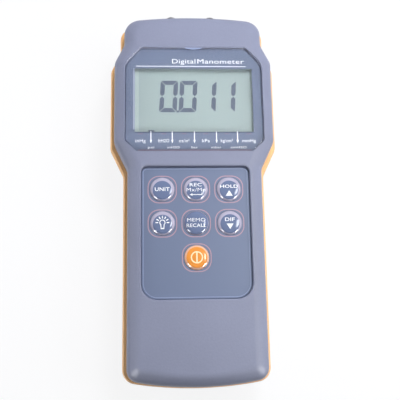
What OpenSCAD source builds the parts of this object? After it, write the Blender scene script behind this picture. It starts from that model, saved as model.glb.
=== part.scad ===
// Hand-held digital manometer, lying on its back, in millimetres.
// +Z is the normal of the front face, +Y points to the pressure ports, and the back rests at z = 0.
// The origin is under the middle of the whole length, ports included.

/* [Body] */
// Width over the orange strip at the display head
head_w = 72; // [70:0.5:76]
// Width over the orange strip at the grip
grip_w = 60.6; // [60:0.5:63]
// Width over the orange strip at the neck
neck_w = 63.8; // [62:0.1:65]
// Length of the case without the ports
body_l = 157; // [156:0.5:164]
// Height of the front face over the circuit board
board_depth = 10.4; // [10.4:0.1:12]
// Wall thickness of the shells
wall_t = 2.2; // [1.8:0.1:2.4]
// Y of the foot of the lower shoulder
shoulder_low_y = 5; // [3:0.5:6]
// Y of the top of the lower shoulder
shoulder_high_y = 17; // [16:0.5:18]
// Length of the neck, from the pressure end to the taper
neck_l = 12.8; // [11:0.1:14]
// Length of the taper between the neck and the head
taper_l = 8.1; // [7:0.1:9]
// Rise of the bowed lower end from its corners to the middle
low_bow = 2.9; // [1:0.1:3.5]
// Rise of the bowed pressure end from its corners to the middle
high_bow = 1.9; // [1:0.1:3]
// Width of the rounded border of the front face
border_w = 4.3; // [3.5:0.1:5]

/* [Side strip] */
// How far the strip stands out from the sides of the case
strip_out = 2.3; // [1.6:0.1:2.6]
// How far the strip stands out from the lower end
strip_out_end = 0.8; // [0.5:0.1:1.2]
// Height of the strip
strip_h = 7.2; // [5:0.1:8]
// How deep the strip sits in the shells
strip_seat = 1; // [0.6:0.1:1.2]

/* [Display] */
// Width of the case beside the lens, out to the strip
lens_side = 7; // [6.6:0.1:8]
// Y of the lower edge of the lens
lens_low_y = 12.2; // [11.5:0.1:13]
// Y of the upper edge of the lens
lens_high_y = 58; // [57:0.1:58.5]
// Thickness of the lens
lens_t = 1.6; // [1.2:0.1:1.8]
// Width of the printed mask beside the display window
mask_side = 4.4; // [4:0.1:6]
// Height of the display window
window_h = 27.3; // [25:0.1:28]
// Y of the middle of the display window
window_y = 34.3; // [34:0.1:34.6]

/* [Keypad] */
// Width of the sunk keypad panel
pad_w = 44.2; // [43:0.1:45]
// Y of the upper edge of the keypad panel
pad_high_y = 5.6; // [5:0.1:6]
// Y of the lower edge of the keypad panel
pad_low_y = -48.2; // [-49:0.1:-46]
// How far the keypad panel lies under the front face
pad_sunk = 1.7; // [1.2:0.1:2]
// Distance between keys across
key_pitch_x = 13.6; // [13:0.1:14]
// Distance between keys along
key_pitch_y = 14; // [13.5:0.1:14.2]
// Y of the upper row of keys
key_row_y = -3.8; // [-4.5:0.1:-3.5]
// Diameter of a key
key_d = 10.1; // [9:0.1:10.4]
// Height of a key over the keypad panel
key_rise = 1.3; // [1:0.1:1.6]
// Travel of a key
key_travel = 0.7; // [0.5:0.1:0.7]

/* [Pressure ports] */
// Outer radius of the port spigots
spigot_r = 2.5; // [2.2:0.1:3]
// How far the ports stand out from the case
port_out = 9; // [8:0.5:11]
// Distance between the ports
port_pitch = 18; // [16:0.5:20]
// Height of the ports over the resting face
port_z = 11; // [10:0.5:11.5]

/* [Back] */
// Length of the battery, a nine volt block
battery_l = 48.5; // [48:0.1:48.8]
// Width of the battery
battery_w = 26.5; // [26:0.1:26.8]
// Height of the battery as it lies
battery_h = 17.5; // [17:0.1:18]
// Width of the battery door
door_w = 31.6; // [31:0.1:32]
// Width of the tilt stand
stand_w = 37.4; // [30:0.2:38]
// Y of the hinge of the tilt stand
stand_y = 52.5; // [50:0.5:54]
// Length of the tilt stand from its hinge
stand_l = 58; // [50:0.5:58.5]
// Minor radius of the quarter-inch tripod thread
tripod_r = 2.55; // [2.5:0.01:2.6]

/* [Hidden] */
$fn = 48;
// Overrun that carries a cut past a surface
cut = 0.5;
// Gap between parts that lie against each other
gap = 0.1;

// Heights, from the battery door up to the front face
door_t = 2.2;
battery_clear = 0.3;
battery_low_z = door_t + battery_clear;
foam_t = 0.7;
roof_t = 1;
box_top_z = battery_low_z + battery_h + foam_t + roof_t;
board_gap = 0.3;
board_low_z = box_top_z + board_gap;
board_t = 1.6;
board_top_z = board_low_z + board_t;
body_t = board_top_z + board_depth;
joint_z = body_t / 2;

// Ends of the case along Y
port_tip_y = (body_l + port_out) / 2;
end_high_y = port_tip_y - port_out;
end_low_y = end_high_y - body_l;
neck_high_y = end_high_y - neck_l;
neck_low_y = neck_high_y - taper_l;
strip_low_z = joint_z - strip_h / 2;
strip_high_z = joint_z + strip_h / 2;
// The strip ends on the neck, short of the pressure end
strip_stop = 2.2;
strip_stop_y = end_high_y - strip_stop;

// Corners of the case outline
corner_low_r = 5;
corner_high_r = 4;
shoulder_foot_r = 6;
shoulder_top_r = 5;

// Points of one rounded corner: b is the corner, a and c its neighbours, r the radius, n the steps
function unit(v) = v / norm(v);
function corner(a, b, c, r, n) =
    let (u = unit(a - b), w = unit(c - b), half = acos(u * w) / 2,
        reach = r / tan(half), mid = b + unit(u + w) * (r / sin(half)),
        p = b + u * reach - mid, q = b + w * reach - mid,
        turn = sign(p[0] * q[1] - p[1] * q[0]) * (180 - 2 * half))
    r == 0 ? [for (i = [0:n]) b]
    : [for (i = [0:n]) let (g = turn * i / n)
        mid + [p[0] * cos(g) - p[1] * sin(g), p[0] * sin(g) + p[1] * cos(g)]];

// Outline of the case, drawn in from the outside of the strip by side, high and low on its three edges
arc_steps = 5;
bow_shares = [0.36, 0.68];
function bow_y(bow, x, half_w) = bow * (x * x) / (half_w * half_w);
function outline(side, high, low, r_high, r_low) =
    let (hg = grip_w / 2 - side, hh = head_w / 2 - side, hn = neck_w / 2 - side,
        low_turn = atan2((head_w - grip_w) / 2, shoulder_high_y - shoulder_low_y),
        high_turn = atan2((head_w - neck_w) / 2, neck_high_y - neck_low_y),
        up = side * tan(low_turn / 2), down = side * tan(high_turn / 2),
        y0 = end_low_y + low, y1 = end_high_y - high,
        knots = [
            [0, y0, 0, 0],
            for (v = bow_shares) [hg * v, y0 + bow_y(low_bow, v, 1), 0, 0],
            [hg, y0 + low_bow, r_low, arc_steps],
            [hg, shoulder_low_y + up, shoulder_foot_r, 3],
            [hh, shoulder_high_y + up, shoulder_top_r, 3],
            [hh, neck_low_y - down, shoulder_top_r, 3],
            [hn, neck_high_y - down, shoulder_foot_r, 3],
            [hn, y1 - high_bow, r_high, arc_steps],
            for (i = [1:2]) let (v = bow_shares[2 - i]) [hn * v, y1 - bow_y(high_bow, v, 1), 0, 0],
            [0, y1, 0, 0]],
        last = len(knots) - 1,
        right = [for (i = [1:last - 1]) let (
            a = [knots[i - 1][0], knots[i - 1][1]], b = [knots[i][0], knots[i][1]],
            c = [knots[i + 1][0], knots[i + 1][1]])
            each corner(a, b, c, knots[i][2], knots[i][3])],
        count = len(right))
    concat([[0, y0]], right, [[0, y1]], [for (i = [1:count]) [-right[count - i][0], right[count - i][1]]]);

// A closed skin through level rings, cut level at both ends; each level is
// [z, side, high, low, high corner, low corner]
module skin(levels) {
    last = len(levels) - 1;
    z0 = levels[0][0];
    z1 = levels[last][0];
    rings = [for (k = [0:last]) let (v = levels[k], z = v[0] + (k == 0 ? -cut : k == last ? cut : 0))
        [for (p = outline(v[1], v[2], v[3], v[4], v[5])) [p[0], p[1], z]]];
    n = len(rings[0]);
    intersection() {
        polyhedron(
            points = [for (r = rings) each r],
            faces = concat(
                [[for (i = [0:n - 1]) i]],
                [[for (i = [0:n - 1]) last * n + n - 1 - i]],
                [for (k = [0:last - 1]) for (i = [0:n - 1])
                    let (j = (i + 1) % n) each [
                        [k * n + i, (k + 1) * n + i, (k + 1) * n + j],
                        [k * n + i, (k + 1) * n + j, k * n + j]]]),
            convexity = 6);
        translate([-head_w, -body_l, z0]) cube([2 * head_w, 2 * body_l, z1 - z0]);
    }
}

// Rounded border of the front face, as levels from the strip up to the face
border_high_w = 4.2;
border_low_w = 6;
border_straight = 4.4;
border_h = body_t - strip_high_z - border_straight;
border_steps = 6;
side_draft = 0.3;
least_r = 0.8;
face_corner_low_r = 1.4;
function front_level(z, k, inward) =
    [z, strip_out + side_draft * min(1, k * 4) + border_w * k + inward,
        border_high_w * k + inward, strip_out_end + border_low_w * k + inward,
        max(corner_high_r - inward, least_r),
        max(corner_low_r + (face_corner_low_r - corner_low_r) * k - inward, least_r)];
module front_outside() {
    skin(concat([front_level(joint_z, 0, 0)],
        [for (i = [0:border_steps]) let (g = 90 * i / border_steps)
            front_level(body_t - border_h * (1 - sin(g)), 1 - cos(g), 0)]));
}
module front_inside() {
    skin([front_level(joint_z - cut, 0, wall_t), front_level(body_t - border_h, 0, wall_t),
        front_level(body_t - 2 * wall_t, 0.3, wall_t), front_level(body_t - wall_t, 0.62, wall_t)]);
}

// Rounded border of the resting face
rear_border_h = 7;
rear_border_w = 4.2;
rear_border_high_w = 2.4;
rear_border_low_w = 3.8;
rear_corner_low_r = 3;
function rear_level(z, k, inward) =
    [z, strip_out + rear_border_w * k + inward, rear_border_high_w * k + inward,
        strip_out_end + rear_border_low_w * k + inward, max(corner_high_r - inward, least_r),
        max(corner_low_r + (rear_corner_low_r - corner_low_r) * k - inward, least_r)];
module rear_outside() {
    skin(concat([for (i = [0:border_steps]) let (g = 90 * i / border_steps)
            rear_level(rear_border_h * (1 - cos(g)), 1 - sin(g), 0)],
        [rear_level(joint_z, 0, 0)]));
}
module rear_inside() {
    skin([rear_level(wall_t, 0.62, wall_t), rear_level(rear_border_h * 0.6, 0.25, wall_t),
        rear_level(rear_border_h, 0, wall_t), rear_level(joint_z + cut, 0, wall_t)]);
}

// Channel round the outside of both shells that the strip sits in
module strip_channel(z0, z1) {
    difference() {
        translate([-head_w, end_low_y - strip_h, z0])
            cube([head_w * 2, strip_stop_y + gap - end_low_y + strip_h, z1 - z0]);
        translate([0, 0, z0 - cut]) linear_extrude(z1 - z0 + 2 * cut)
            polygon(outline(strip_out + strip_seat, 0, strip_out_end + strip_seat,
                corner_high_r - strip_seat, corner_low_r - strip_seat));
    }
}

// Places that repeat
key_xs = [-key_pitch_x, 0, key_pitch_x];
power_y = key_row_y - 2 * key_pitch_y;
key_places = concat([for (j = [0:1]) for (i = [0:2]) [key_xs[i], key_row_y - j * key_pitch_y]],
    [[0, power_y]]);
case_screw_in = 10.3;
case_screw_from_high = 8;
case_screw_from_low = 17;
case_screw_places = [for (s = [-1, 1]) each [
    [s * (neck_w / 2 - case_screw_in), end_high_y - case_screw_from_high],
    [s * (grip_w / 2 - case_screw_in), end_low_y + case_screw_from_low]]];
module at_places(places) {
    for (p = places) translate([p[0], p[1], 0]) children();
}

// Outline of the lens, grown by a clearance
lens_w = head_w - 2 * lens_side;
lens_foot_in = 4.9;
lens_head_in = 6.8;
lens_foot_w = lens_w - 2 * lens_foot_in;
lens_head_w = lens_w - 2 * lens_head_in;
lens_chamfer_low = 4.6;
lens_chamfer_high = 7.2;
lens_foot_r = 1.2;
lens_side_r = 2.5;
lens_shoulder_r = 7;
function lens_outline(grow) =
    let (h = lens_w / 2 + grow, y0 = lens_low_y - grow, y1 = lens_high_y + grow,
        knots = [[lens_foot_w / 2, y0, lens_foot_r], [h, y0 + lens_chamfer_low, lens_side_r],
            [h, y1 - lens_chamfer_high, lens_shoulder_r], [lens_head_w / 2, y1, lens_side_r],
            [-lens_head_w / 2, y1, lens_side_r], [-h, y1 - lens_chamfer_high, lens_shoulder_r],
            [-h, y0 + lens_chamfer_low, lens_side_r], [-lens_foot_w / 2, y0, lens_foot_r]],
        n = len(knots), flat = [for (k = knots) [k[0], k[1]]])
    [for (i = [0:n - 1]) each corner(flat[(i + n - 1) % n], flat[i], flat[(i + 1) % n], knots[i][2], 5)];

// Outline of the keypad panel, grown by a clearance
pad_high_r = 2.4;
pad_low_r = 5.8;
function pad_outline(grow) =
    let (h = pad_w / 2 + grow, y0 = pad_low_y - grow, y1 = pad_high_y + grow,
        knots = [[h, y0, pad_low_r + grow], [h, y1, pad_high_r + grow],
            [-h, y1, pad_high_r + grow], [-h, y0, pad_low_r + grow]],
        flat = [for (k = knots) [k[0], k[1]]])
    [for (i = [0:3]) each corner(flat[(i + 3) % 4], flat[i], flat[(i + 1) % 4], knots[i][2], 6)];

// Levels of the stack behind the front face
lens_sunk = 0.3;
lens_top_z = body_t - lens_sunk;
lens_low_z = lens_top_z - lens_t;
mask_t = 0.2;
lens_seat_z = lens_low_z - mask_t;
pad_t = 0.6;
pad_top_z = body_t - pad_sunk;
pad_seat_z = pad_top_z - pad_t;
face_depth = 4;
ceiling_z = body_t - face_depth;
key_gap = 0.2;
key_hole_r = key_d / 2 + key_gap;
case_boss_r = 4;
board_boss_r = 2.7;
screw_r = 1.4;
screw_head_r = 2.7;
screw_seat_z = 5;
small_screw_r = 1;
screw_bite = 10;
small_screw_bite = 5;
floor_lap = 2;
window_gap = 1;
// Crescent that lets a nail lift the lens
notch_r = 9;
notch_out = 0.9;
notch_depth = 0.6;

// Display stack between the front face and the board
window_w = lens_w - 2 * mask_side;
lcd_side = 2.9;
lcd_edge = 3.55;
lcd_w = window_w + 2 * lcd_side;
lcd_h = window_h + 2 * lcd_edge;
lcd_t = 2.4;
lcd_gap = 0.2;
lcd_low_z = ceiling_z - lcd_gap - lcd_t;
holder_side = 1.2;
holder_edge = 1.8;
holder_w = lcd_w + 2 * holder_side;
holder_h = lcd_h + 2 * holder_edge;
zebra_side = 2.8;
zebra_w = lcd_w - 2 * zebra_side;
zebra_t = 2;
zebra_in = 1.3;
zebra_y = lcd_h / 2 - zebra_in;
light_side = 2.5;
light_gap = 1.6;
light_w = lcd_w - 2 * light_side;
light_h = 2 * (zebra_y - zebra_t / 2 - light_gap);

// Outline of the circuit board, and the screws that hold it
board_in = 6.2;
board_grip_w = grip_w - 2 * board_in;
board_head_w = head_w - 2 * board_in;
board_neck_w = neck_w - 2 * board_in;
board_low_in = 1.7;
board_high_out = 6.1;
board_low_y = pad_low_y + board_low_in;
board_high_y = window_y + holder_h / 2 + board_high_out;
board_screw_in = 3.2;
board_middle_in = 2.2;
boss_gap = 0.5;
board_screw_places = [for (s = [-1, 1]) each [
    [s * (board_grip_w / 2 - board_screw_in), board_low_y + board_screw_in],
    [s * (board_grip_w / 2 - board_middle_in), window_y - holder_h / 2 - board_boss_r - boss_gap],
    [s * (board_neck_w / 2 - board_screw_in), board_high_y - board_screw_in]]];

module front_shell() {
    color("#8a8fae") difference() {
        union() {
            difference() {
                front_outside();
                front_inside();
            }
            intersection() {
                front_outside();
                union() {
                    translate([0, 0, ceiling_z]) linear_extrude(wall_t) polygon(lens_outline(floor_lap));
                    translate([0, 0, ceiling_z]) linear_extrude(wall_t) polygon(pad_outline(floor_lap));
                    translate([0, 0, joint_z]) at_places(case_screw_places)
                        cylinder(r = case_boss_r, h = body_t - joint_z - wall_t + gap);
                    translate([0, 0, board_top_z]) at_places(board_screw_places)
                        cylinder(r = board_boss_r, h = body_t - board_top_z - wall_t + gap);
                }
            }
        }
        translate([0, 0, lens_seat_z]) linear_extrude(body_t - lens_seat_z + cut) polygon(lens_outline(gap));
        translate([0, lens_high_y - notch_r + notch_out, lens_top_z - notch_depth])
            cylinder(r = notch_r, h = body_t);
        translate([0, window_y, body_t - window_h / 2])
            cube([window_w + 2 * window_gap, window_h + 2 * window_gap, window_h], center = true);
        translate([0, 0, pad_seat_z]) linear_extrude(body_t - pad_seat_z + cut) polygon(pad_outline(gap));
        translate([0, 0, ceiling_z - cut]) at_places(key_places)
            cylinder(r = key_hole_r, h = body_t - ceiling_z);
        translate([0, 0, joint_z - cut]) at_places(case_screw_places)
            cylinder(r = screw_r, h = screw_bite + cut);
        translate([0, 0, board_top_z - cut]) at_places(board_screw_places)
            cylinder(r = small_screw_r, h = small_screw_bite + cut);
        strip_channel(joint_z - cut, strip_high_z + gap);
    }
}

// Battery box and door
box_gap = 0.9;
box_w = battery_w + 2 * box_gap;
box_wall = 1.2;
box_from_end = 7;
box_low_y = end_low_y + box_from_end;
snap_room = 6.9;
box_high_y = box_low_y + battery_l + snap_room;
door_lap = 1;
door_high_y = box_high_y + door_lap;
door_low_y = end_low_y - cut;
tongue_w = 1.4;
tongue_t = 0.9;
rail_h = 1.6;
door_gap = 0.2;
rail_from_end = 4;
rail_low_y = end_low_y + rail_from_end;
rail_lap = 2;

// Shape that the door fills, grown by a clearance
module door_blank(grow) {
    w = door_w / 2 + grow;
    translate([-w, door_low_y, -cut]) cube([2 * w, door_high_y + grow - door_low_y, door_t + grow + cut]);
    translate([-w - tongue_w, door_low_y, door_t - tongue_t - grow])
        cube([2 * (w + tongue_w), door_high_y + grow - door_low_y, tongue_t + 2 * grow]);
}

// Pocket of the tilt stand
stand_t = 2.2;
stand_rest_z = 0.2;
stand_gap = 0.3;
hinge_z = 2.5;
hinge_r = 2.1;
pin_r = 1;
pin_gap = 0.05;
pin_hold = 3;
pin_l = stand_w + 2 * pin_hold;
stand_top_z = stand_rest_z + stand_t + stand_gap;
hinge_top_z = hinge_z + hinge_r + stand_gap;
pocket_wall = 2.5;
// Inner pads and bosses start inside the back wall
root_z = wall_t / 2;
module stand_pocket() {
    w = stand_w / 2 + stand_gap;
    translate([-w, stand_y - stand_l - stand_gap, -cut])
        cube([2 * w, stand_l, stand_top_z + cut]);
    translate([-w, stand_y - hinge_r - stand_gap, -cut])
        cube([2 * w, 2 * (hinge_r + stand_gap), hinge_top_z + cut]);
}

tripod_h = 9;
tripod_boss_r = 6.8;
tripod_lap = 0.4;
tripod_y = box_high_y + box_wall + tripod_boss_r - tripod_lap;
tripod_insert_r = 4.4;
port_wall_y = end_high_y - wall_t;
thread_r = 3;
ring_sunk = 0.9;
ring_r = 3.9;
collar_flats = 8;
collar_t = 1.4;

module rear_shell() {
    color("#7f86a6") difference() {
        union() {
            difference() {
                rear_outside();
                rear_inside();
            }
            translate([0, 0, root_z]) {
                at_places(case_screw_places) cylinder(r = case_boss_r, h = joint_z - root_z);
                translate([-stand_w / 2 - pocket_wall, stand_y - stand_l - pocket_wall, 0])
                    cube([stand_w + 2 * pocket_wall, stand_l, stand_top_z + wall_t - root_z]);
                translate([-pin_l / 2 - box_wall, stand_y - hinge_r - pocket_wall, 0])
                    cube([pin_l + 2 * box_wall, 2 * (hinge_r + pocket_wall), hinge_top_z + wall_t - root_z]);
                translate([-door_w / 2 - tongue_w - rail_lap, rail_low_y, 0])
                    cube([door_w + 2 * (tongue_w + rail_lap), door_high_y + rail_lap - rail_low_y,
                        door_t + rail_h - root_z]);
                translate([-door_w / 2, port_wall_y - wall_t + gap, 0])
                    cube([door_w, wall_t, joint_z - root_z]);
            }
            translate([-box_w / 2 - box_wall, box_low_y - box_wall, root_z])
                cube([box_w + 2 * box_wall, box_high_y - box_low_y + 2 * box_wall, box_top_z - root_z]);
            translate([0, tripod_y, root_z]) cylinder(r = tripod_boss_r, h = tripod_h + roof_t - root_z);
        }
        translate([-box_w / 2, box_low_y, -cut])
            cube([box_w, box_high_y - box_low_y, box_top_z - roof_t + cut]);
        door_blank(door_gap);
        translate([-lead_slot_w / 2, box_high_y - cut, lead_z - lead_slot_w / 2])
            cube([lead_slot_w, box_wall + 2 * cut, lead_slot_w]);
        stand_pocket();
        translate([-pin_l / 2, stand_y, hinge_z]) rotate([0, 90, 0]) cylinder(r = pin_r, h = pin_l);
        translate([0, tripod_y, -cut]) cylinder(r = tripod_insert_r, h = tripod_h + cut);
        at_places(case_screw_places) {
            translate([0, 0, -cut]) cylinder(r = screw_head_r + gap, h = screw_seat_z + cut);
            cylinder(r = screw_r + gap, h = joint_z + cut);
        }
        at_ports() {
            translate([0, 0, -wall_t * 3]) cylinder(r = thread_r + gap, h = wall_t * 3 + cut);
            translate([0, 0, -ring_sunk]) cylinder(r = ring_r + gap, h = ring_sunk + cut);
            cylinder(r = collar_flats / sqrt(3) + gap, h = high_bow);
        }
        strip_channel(strip_low_z - gap, joint_z + cut);
    }
}

// Puts a shape whose +Z points out of the case at both ports
module at_ports() {
    for (x = [-port_pitch / 2, port_pitch / 2]) at_port(x) children();
}
module at_port(x) {
    translate([x, end_high_y - port_bow, port_z]) rotate([-90, 0, 0]) children();
}
port_bow = bow_y(high_bow, port_pitch / 2 + ring_r, neck_w / 2);

// Convex strip round the sides and the lower end
strip_arc = 60;
strip_crown = 0.8;
crown_end_share = 0.7;
module side_band() {
    bulge = [for (i = [-3:3]) let (g = strip_arc * i / 3) [
        joint_z + (strip_h / 2) * sin(g) / sin(strip_arc),
        strip_crown * (1 - cos(g)) / (1 - cos(strip_arc))]];
    color("#e8933a") difference() {
        skin([for (b = bulge)
            [b[0], b[1], -high_bow, b[1] * crown_end_share, corner_high_r,
                corner_low_r + strip_out_end - b[1]]]);
        translate([0, 0, strip_low_z - cut]) linear_extrude(strip_h + 2 * cut)
            polygon(outline(strip_out + strip_seat - gap, -2 * high_bow, strip_out_end + strip_seat - gap,
                corner_high_r, corner_low_r - strip_seat));
        translate([-head_w, strip_stop_y, strip_low_z - cut])
            cube([2 * head_w, head_w, strip_h + 2 * cut]);
    }
}

module display_lens() {
    color("#c9d3dd", 0.4) translate([0, 0, lens_low_z]) linear_extrude(lens_t) polygon(lens_outline(0));
}

module lens_mask() {
    color("#7f88a8") translate([0, 0, lens_seat_z]) linear_extrude(mask_t) difference() {
        polygon(lens_outline(-mask_t));
        translate([0, window_y]) square([window_w, window_h], center = true);
    }
}

module lcd_panel() {
    color("#b8c9c8") translate([-lcd_w / 2, window_y - lcd_h / 2, lcd_low_z]) cube([lcd_w, lcd_h, lcd_t]);
}
module lcd_holder() {
    color("#e8e8e6") translate([0, window_y, 0]) difference() {
        translate([-holder_w / 2, -holder_h / 2, board_top_z])
            cube([holder_w, holder_h, ceiling_z - gap - board_top_z]);
        translate([-lcd_w / 2 - gap, -lcd_h / 2 - gap, lcd_low_z])
            cube([lcd_w + 2 * gap, lcd_h + 2 * gap, body_t]);
        translate([-light_w / 2 - gap, -light_h / 2 - gap, board_top_z - cut])
            cube([light_w + 2 * gap, light_h + 2 * gap, body_t]);
        for (s = [-1, 1]) translate([-zebra_w / 2 - gap, s * zebra_y - zebra_t / 2 - gap, board_top_z - cut])
            cube([zebra_w + 2 * gap, zebra_t + 2 * gap, body_t]);
    }
}
module zebra_strips() {
    color("#5a5a5c") for (s = [-1, 1])
        translate([-zebra_w / 2, window_y + s * zebra_y - zebra_t / 2, board_top_z])
            cube([zebra_w, zebra_t, lcd_low_z - board_top_z]);
}
module backlight_panel() {
    color("#f4f4ee") translate([-light_w / 2, window_y - light_h / 2, board_top_z])
        cube([light_w, light_h, lcd_low_z - board_top_z - lcd_gap]);
}

module keypad_panel() {
    color("#7686a8") translate([0, 0, pad_seat_z]) linear_extrude(pad_t) difference() {
        polygon(pad_outline(0));
        for (p = key_places) translate(p) circle(r = key_hole_r);
    }
}

// A key: a domed cap, its stem through the shell and a flange that keeps it in
key_r = key_d / 2;
flange_out = 0.9;
flange_r = key_r + flange_out;
flange_t = 1;
plunger_r = 2.4;
plunger_l = 0.9;
plunger_z = ceiling_z - gap - flange_t - plunger_l;
// Height of the straight edge of a key over the panel
key_edge = 0.45;
module key(i, tone) {
    cap = key_rise - key_edge;
    curve = (key_r * key_r + cap * cap) / (2 * cap);
    color(tone) translate([key_places[i][0], key_places[i][1], 0]) rotate_extrude() {
        intersection() {
            translate([0, pad_top_z + key_rise - curve]) circle(r = curve);
            translate([0, ceiling_z - gap]) square([key_r, body_t]);
        }
        translate([0, ceiling_z - gap - flange_t]) square([flange_r, flange_t]);
        translate([0, plunger_z]) square([plunger_r, flange_t + plunger_l]);
    }
}

// Soft mat with one hollow bump under each key
mat_t = 1.2;
bump_r = 4.8;
bump_top_r = 3;
bump_wall = 1.6;
bump_top_z = plunger_z - key_travel - gap;
mat_in = 1.2;
mat_reach = 6.8;
contact_t = 0.1;
contact_r = 2.6;
module keypad_mat() {
    color("#4a4d57") difference() {
        union() {
            translate([-pad_w / 2 + mat_in, power_y - mat_reach, board_top_z])
                cube([pad_w - 2 * mat_in, key_row_y - power_y + 2 * mat_reach, mat_t]);
            translate([0, 0, board_top_z]) at_places(key_places)
                cylinder(r1 = bump_r, r2 = bump_top_r, h = bump_top_z - board_top_z);
        }
        translate([0, 0, board_top_z - cut]) at_places(key_places)
            cylinder(r = bump_r - bump_wall, h = bump_wall + cut);
    }
}
module contact_pads() {
    color("#d8b04a") translate([0, 0, board_top_z]) at_places(key_places)
        cylinder(r = contact_r, h = contact_t);
}

module unit_key() { key(0, "#7686a8"); }
module record_key() { key(1, "#7686a8"); }
module hold_key() { key(2, "#7686a8"); }
module light_key() { key(3, "#7686a8"); }
module memo_key() { key(4, "#7686a8"); }
module diff_key() { key(5, "#7686a8"); }
module power_key() { key(6, "#e8862a"); }

// Circuit board and what it carries
board_hole_gap = 0.15;
board_corner_r = 1.5;
module main_board() {
    color("#2f6b45") translate([0, 0, board_low_z]) difference() {
        linear_extrude(board_t) intersection() {
            polygon(outline(board_in, 0, 0, board_corner_r, board_corner_r));
            translate([-board_head_w / 2, board_low_y]) square([board_head_w, board_high_y - board_low_y]);
        }
        translate([0, 0, -cut]) at_places(board_screw_places)
            cylinder(r = small_screw_r + board_hole_gap, h = board_t + 2 * cut);
        translate([0, 0, -cut]) at_places(case_screw_places)
            cylinder(r = case_boss_r + boss_gap, h = board_t + 2 * cut);
    }
}

// Packaged parts under the board. Each row of shares is x and width of the board's width,
// y and length of the case's length, and height of the board's thickness
chip_shares = [[-0.24, 0.24, 0.02, 0.075, 1], [-0.27, 0.1, -0.076, 0.032, 0.95],
    [0.24, 0.15, 0.29, 0.047, 1.4], [-0.31, 0.1, 0.19, 0.038, 1], [-0.3, 0.19, 0.29, 0.029, 2.1]];
small_chip_shares = concat([for (i = [0:4]) [0.07 + 0.058 * i, 0.03, 0.05, 0.02, 0.7]],
    [for (i = [0:3]) [-0.07, 0.054, 0.025 * i - 0.06, 0.011, 0.7]]);
module board_chips() {
    color("#2b2b2f") for (c = concat(chip_shares, small_chip_shares)) {
        size = [c[1] * board_head_w, c[3] * body_l, c[4] * board_t];
        translate([c[0] * board_head_w - size[0] / 2, c[2] * body_l - size[1] / 2, board_low_z - size[2]])
            cube(size);
    }
}
small_head_r = 1.9;
small_head_t = 1.2;
tip_gap = 0.6;
module board_screws() {
    color("#b9bcc2") at_places(board_screw_places) {
        translate([0, 0, board_low_z]) cylinder(r = small_screw_r, h = board_t + small_screw_bite - tip_gap);
        translate([0, 0, board_low_z - small_head_t]) cylinder(r = small_head_r, h = small_head_t);
    }
}
buzzer_r = 6;
buzzer_h = 6.4;
buzzer_in = 7.1;
buzzer_y = -3;
sound_hole_r = 1;
module buzzer() {
    color("#1f1f22") translate([board_grip_w / 2 - buzzer_in, buzzer_y, board_low_z - buzzer_h])
            difference() {
        cylinder(r = buzzer_r, h = buzzer_h);
        translate([0, 0, -cut]) cylinder(r = sound_hole_r, h = sound_hole_r + cut);
    }
}

// Pressure sensor, with two nozzles that face the ports
sensor_w = 20;
sensor_l = 16;
sensor_from_end = 36;
sensor_high_y = end_high_y - sensor_from_end;
sensor_h = 8.6;
nozzle_x = 5;
nozzle_drop = 5;
nozzle_z = board_low_z - nozzle_drop;
nozzle_r = 1.8;
nozzle_l = 6;
module pressure_sensor() {
    color("#ded9cc") {
        translate([-sensor_w / 2, sensor_high_y - sensor_l, board_low_z - sensor_h])
            cube([sensor_w, sensor_l, sensor_h]);
        for (s = [-1, 1]) translate([s * nozzle_x, sensor_high_y - gap, nozzle_z]) rotate([-90, 0, 0])
            cylinder(r = nozzle_r, h = nozzle_l + gap);
    }
}

// Barbed fitting: a hex collar outside, a thread through the wall and a barb for the inner tube
spigot_l = port_out + port_bow - collar_t;
inner_barb_r = 1.9;
nut_t = 2.2;
nut_flats = 8.6;
nut_gap = 0.3;
thread_spare = 1;
thread_l = 2 * wall_t + nut_t + thread_spare;
inner_barb_l = 6;
fluid_r = 1.1;
module hex(flats, h) {
    cylinder(r = flats / sqrt(3), h = h, $fn = 6);
}
// Straight lands and undercut grooves, none wider than the spigot itself
land = spigot_l / 8;
barb_depth = 0.5;
root_r = spigot_r - barb_depth;
module port_body() {
    difference() {
        union() {
            hex(collar_flats, collar_t);
            translate([0, 0, collar_t]) rotate_extrude() polygon([
                [0, 0], [root_r, 0], [root_r, land], [spigot_r, land], [spigot_r, 3 * land],
                [root_r, 4 * land], [spigot_r, 4 * land], [spigot_r, 6 * land], [root_r, 7 * land],
                [spigot_r, 7 * land], [spigot_r, 7.5 * land], [root_r, 8 * land], [0, 8 * land]]);
            translate([0, 0, -thread_l]) cylinder(r = thread_r, h = thread_l);
            translate([0, 0, -thread_l - inner_barb_l]) cylinder(r = inner_barb_r, h = inner_barb_l);
        }
        translate([0, 0, -thread_l - inner_barb_l - cut])
            cylinder(r = fluid_r, h = thread_l + inner_barb_l + port_out + port_bow + 2 * cut);
    }
}
module high_port() { color("#c3c4c6") at_port(-port_pitch / 2) port_body(); }
module low_port() { color("#c3c4c6") at_port(port_pitch / 2) port_body(); }
module port_nuts() {
    color("#b9bcc2") at_ports() translate([0, 0, -2 * wall_t - nut_t - nut_gap]) difference() {
        hex(nut_flats, nut_t);
        translate([0, 0, -cut]) cylinder(r = thread_r, h = nut_t + 2 * cut);
    }
}
module port_rings() {
    color("#1c1c1e") at_ports() translate([0, 0, -ring_sunk]) difference() {
        cylinder(r = ring_r, h = ring_sunk);
        translate([0, 0, -cut]) cylinder(r = thread_r, h = ring_sunk + 2 * cut);
    }
}

// Soft tube from a port to its nozzle: straight ends joined by two bends in one slanted plane
tube_gap = 0.02;
tube_bore_r = inner_barb_r + tube_gap;
tube_r = 3.1;
bend_r = 12;
bend_steps = 5;
tube_sides = 20;
port_end_y = end_high_y - port_bow - thread_l - inner_barb_l;
tube_overlap = 4.4;
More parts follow.
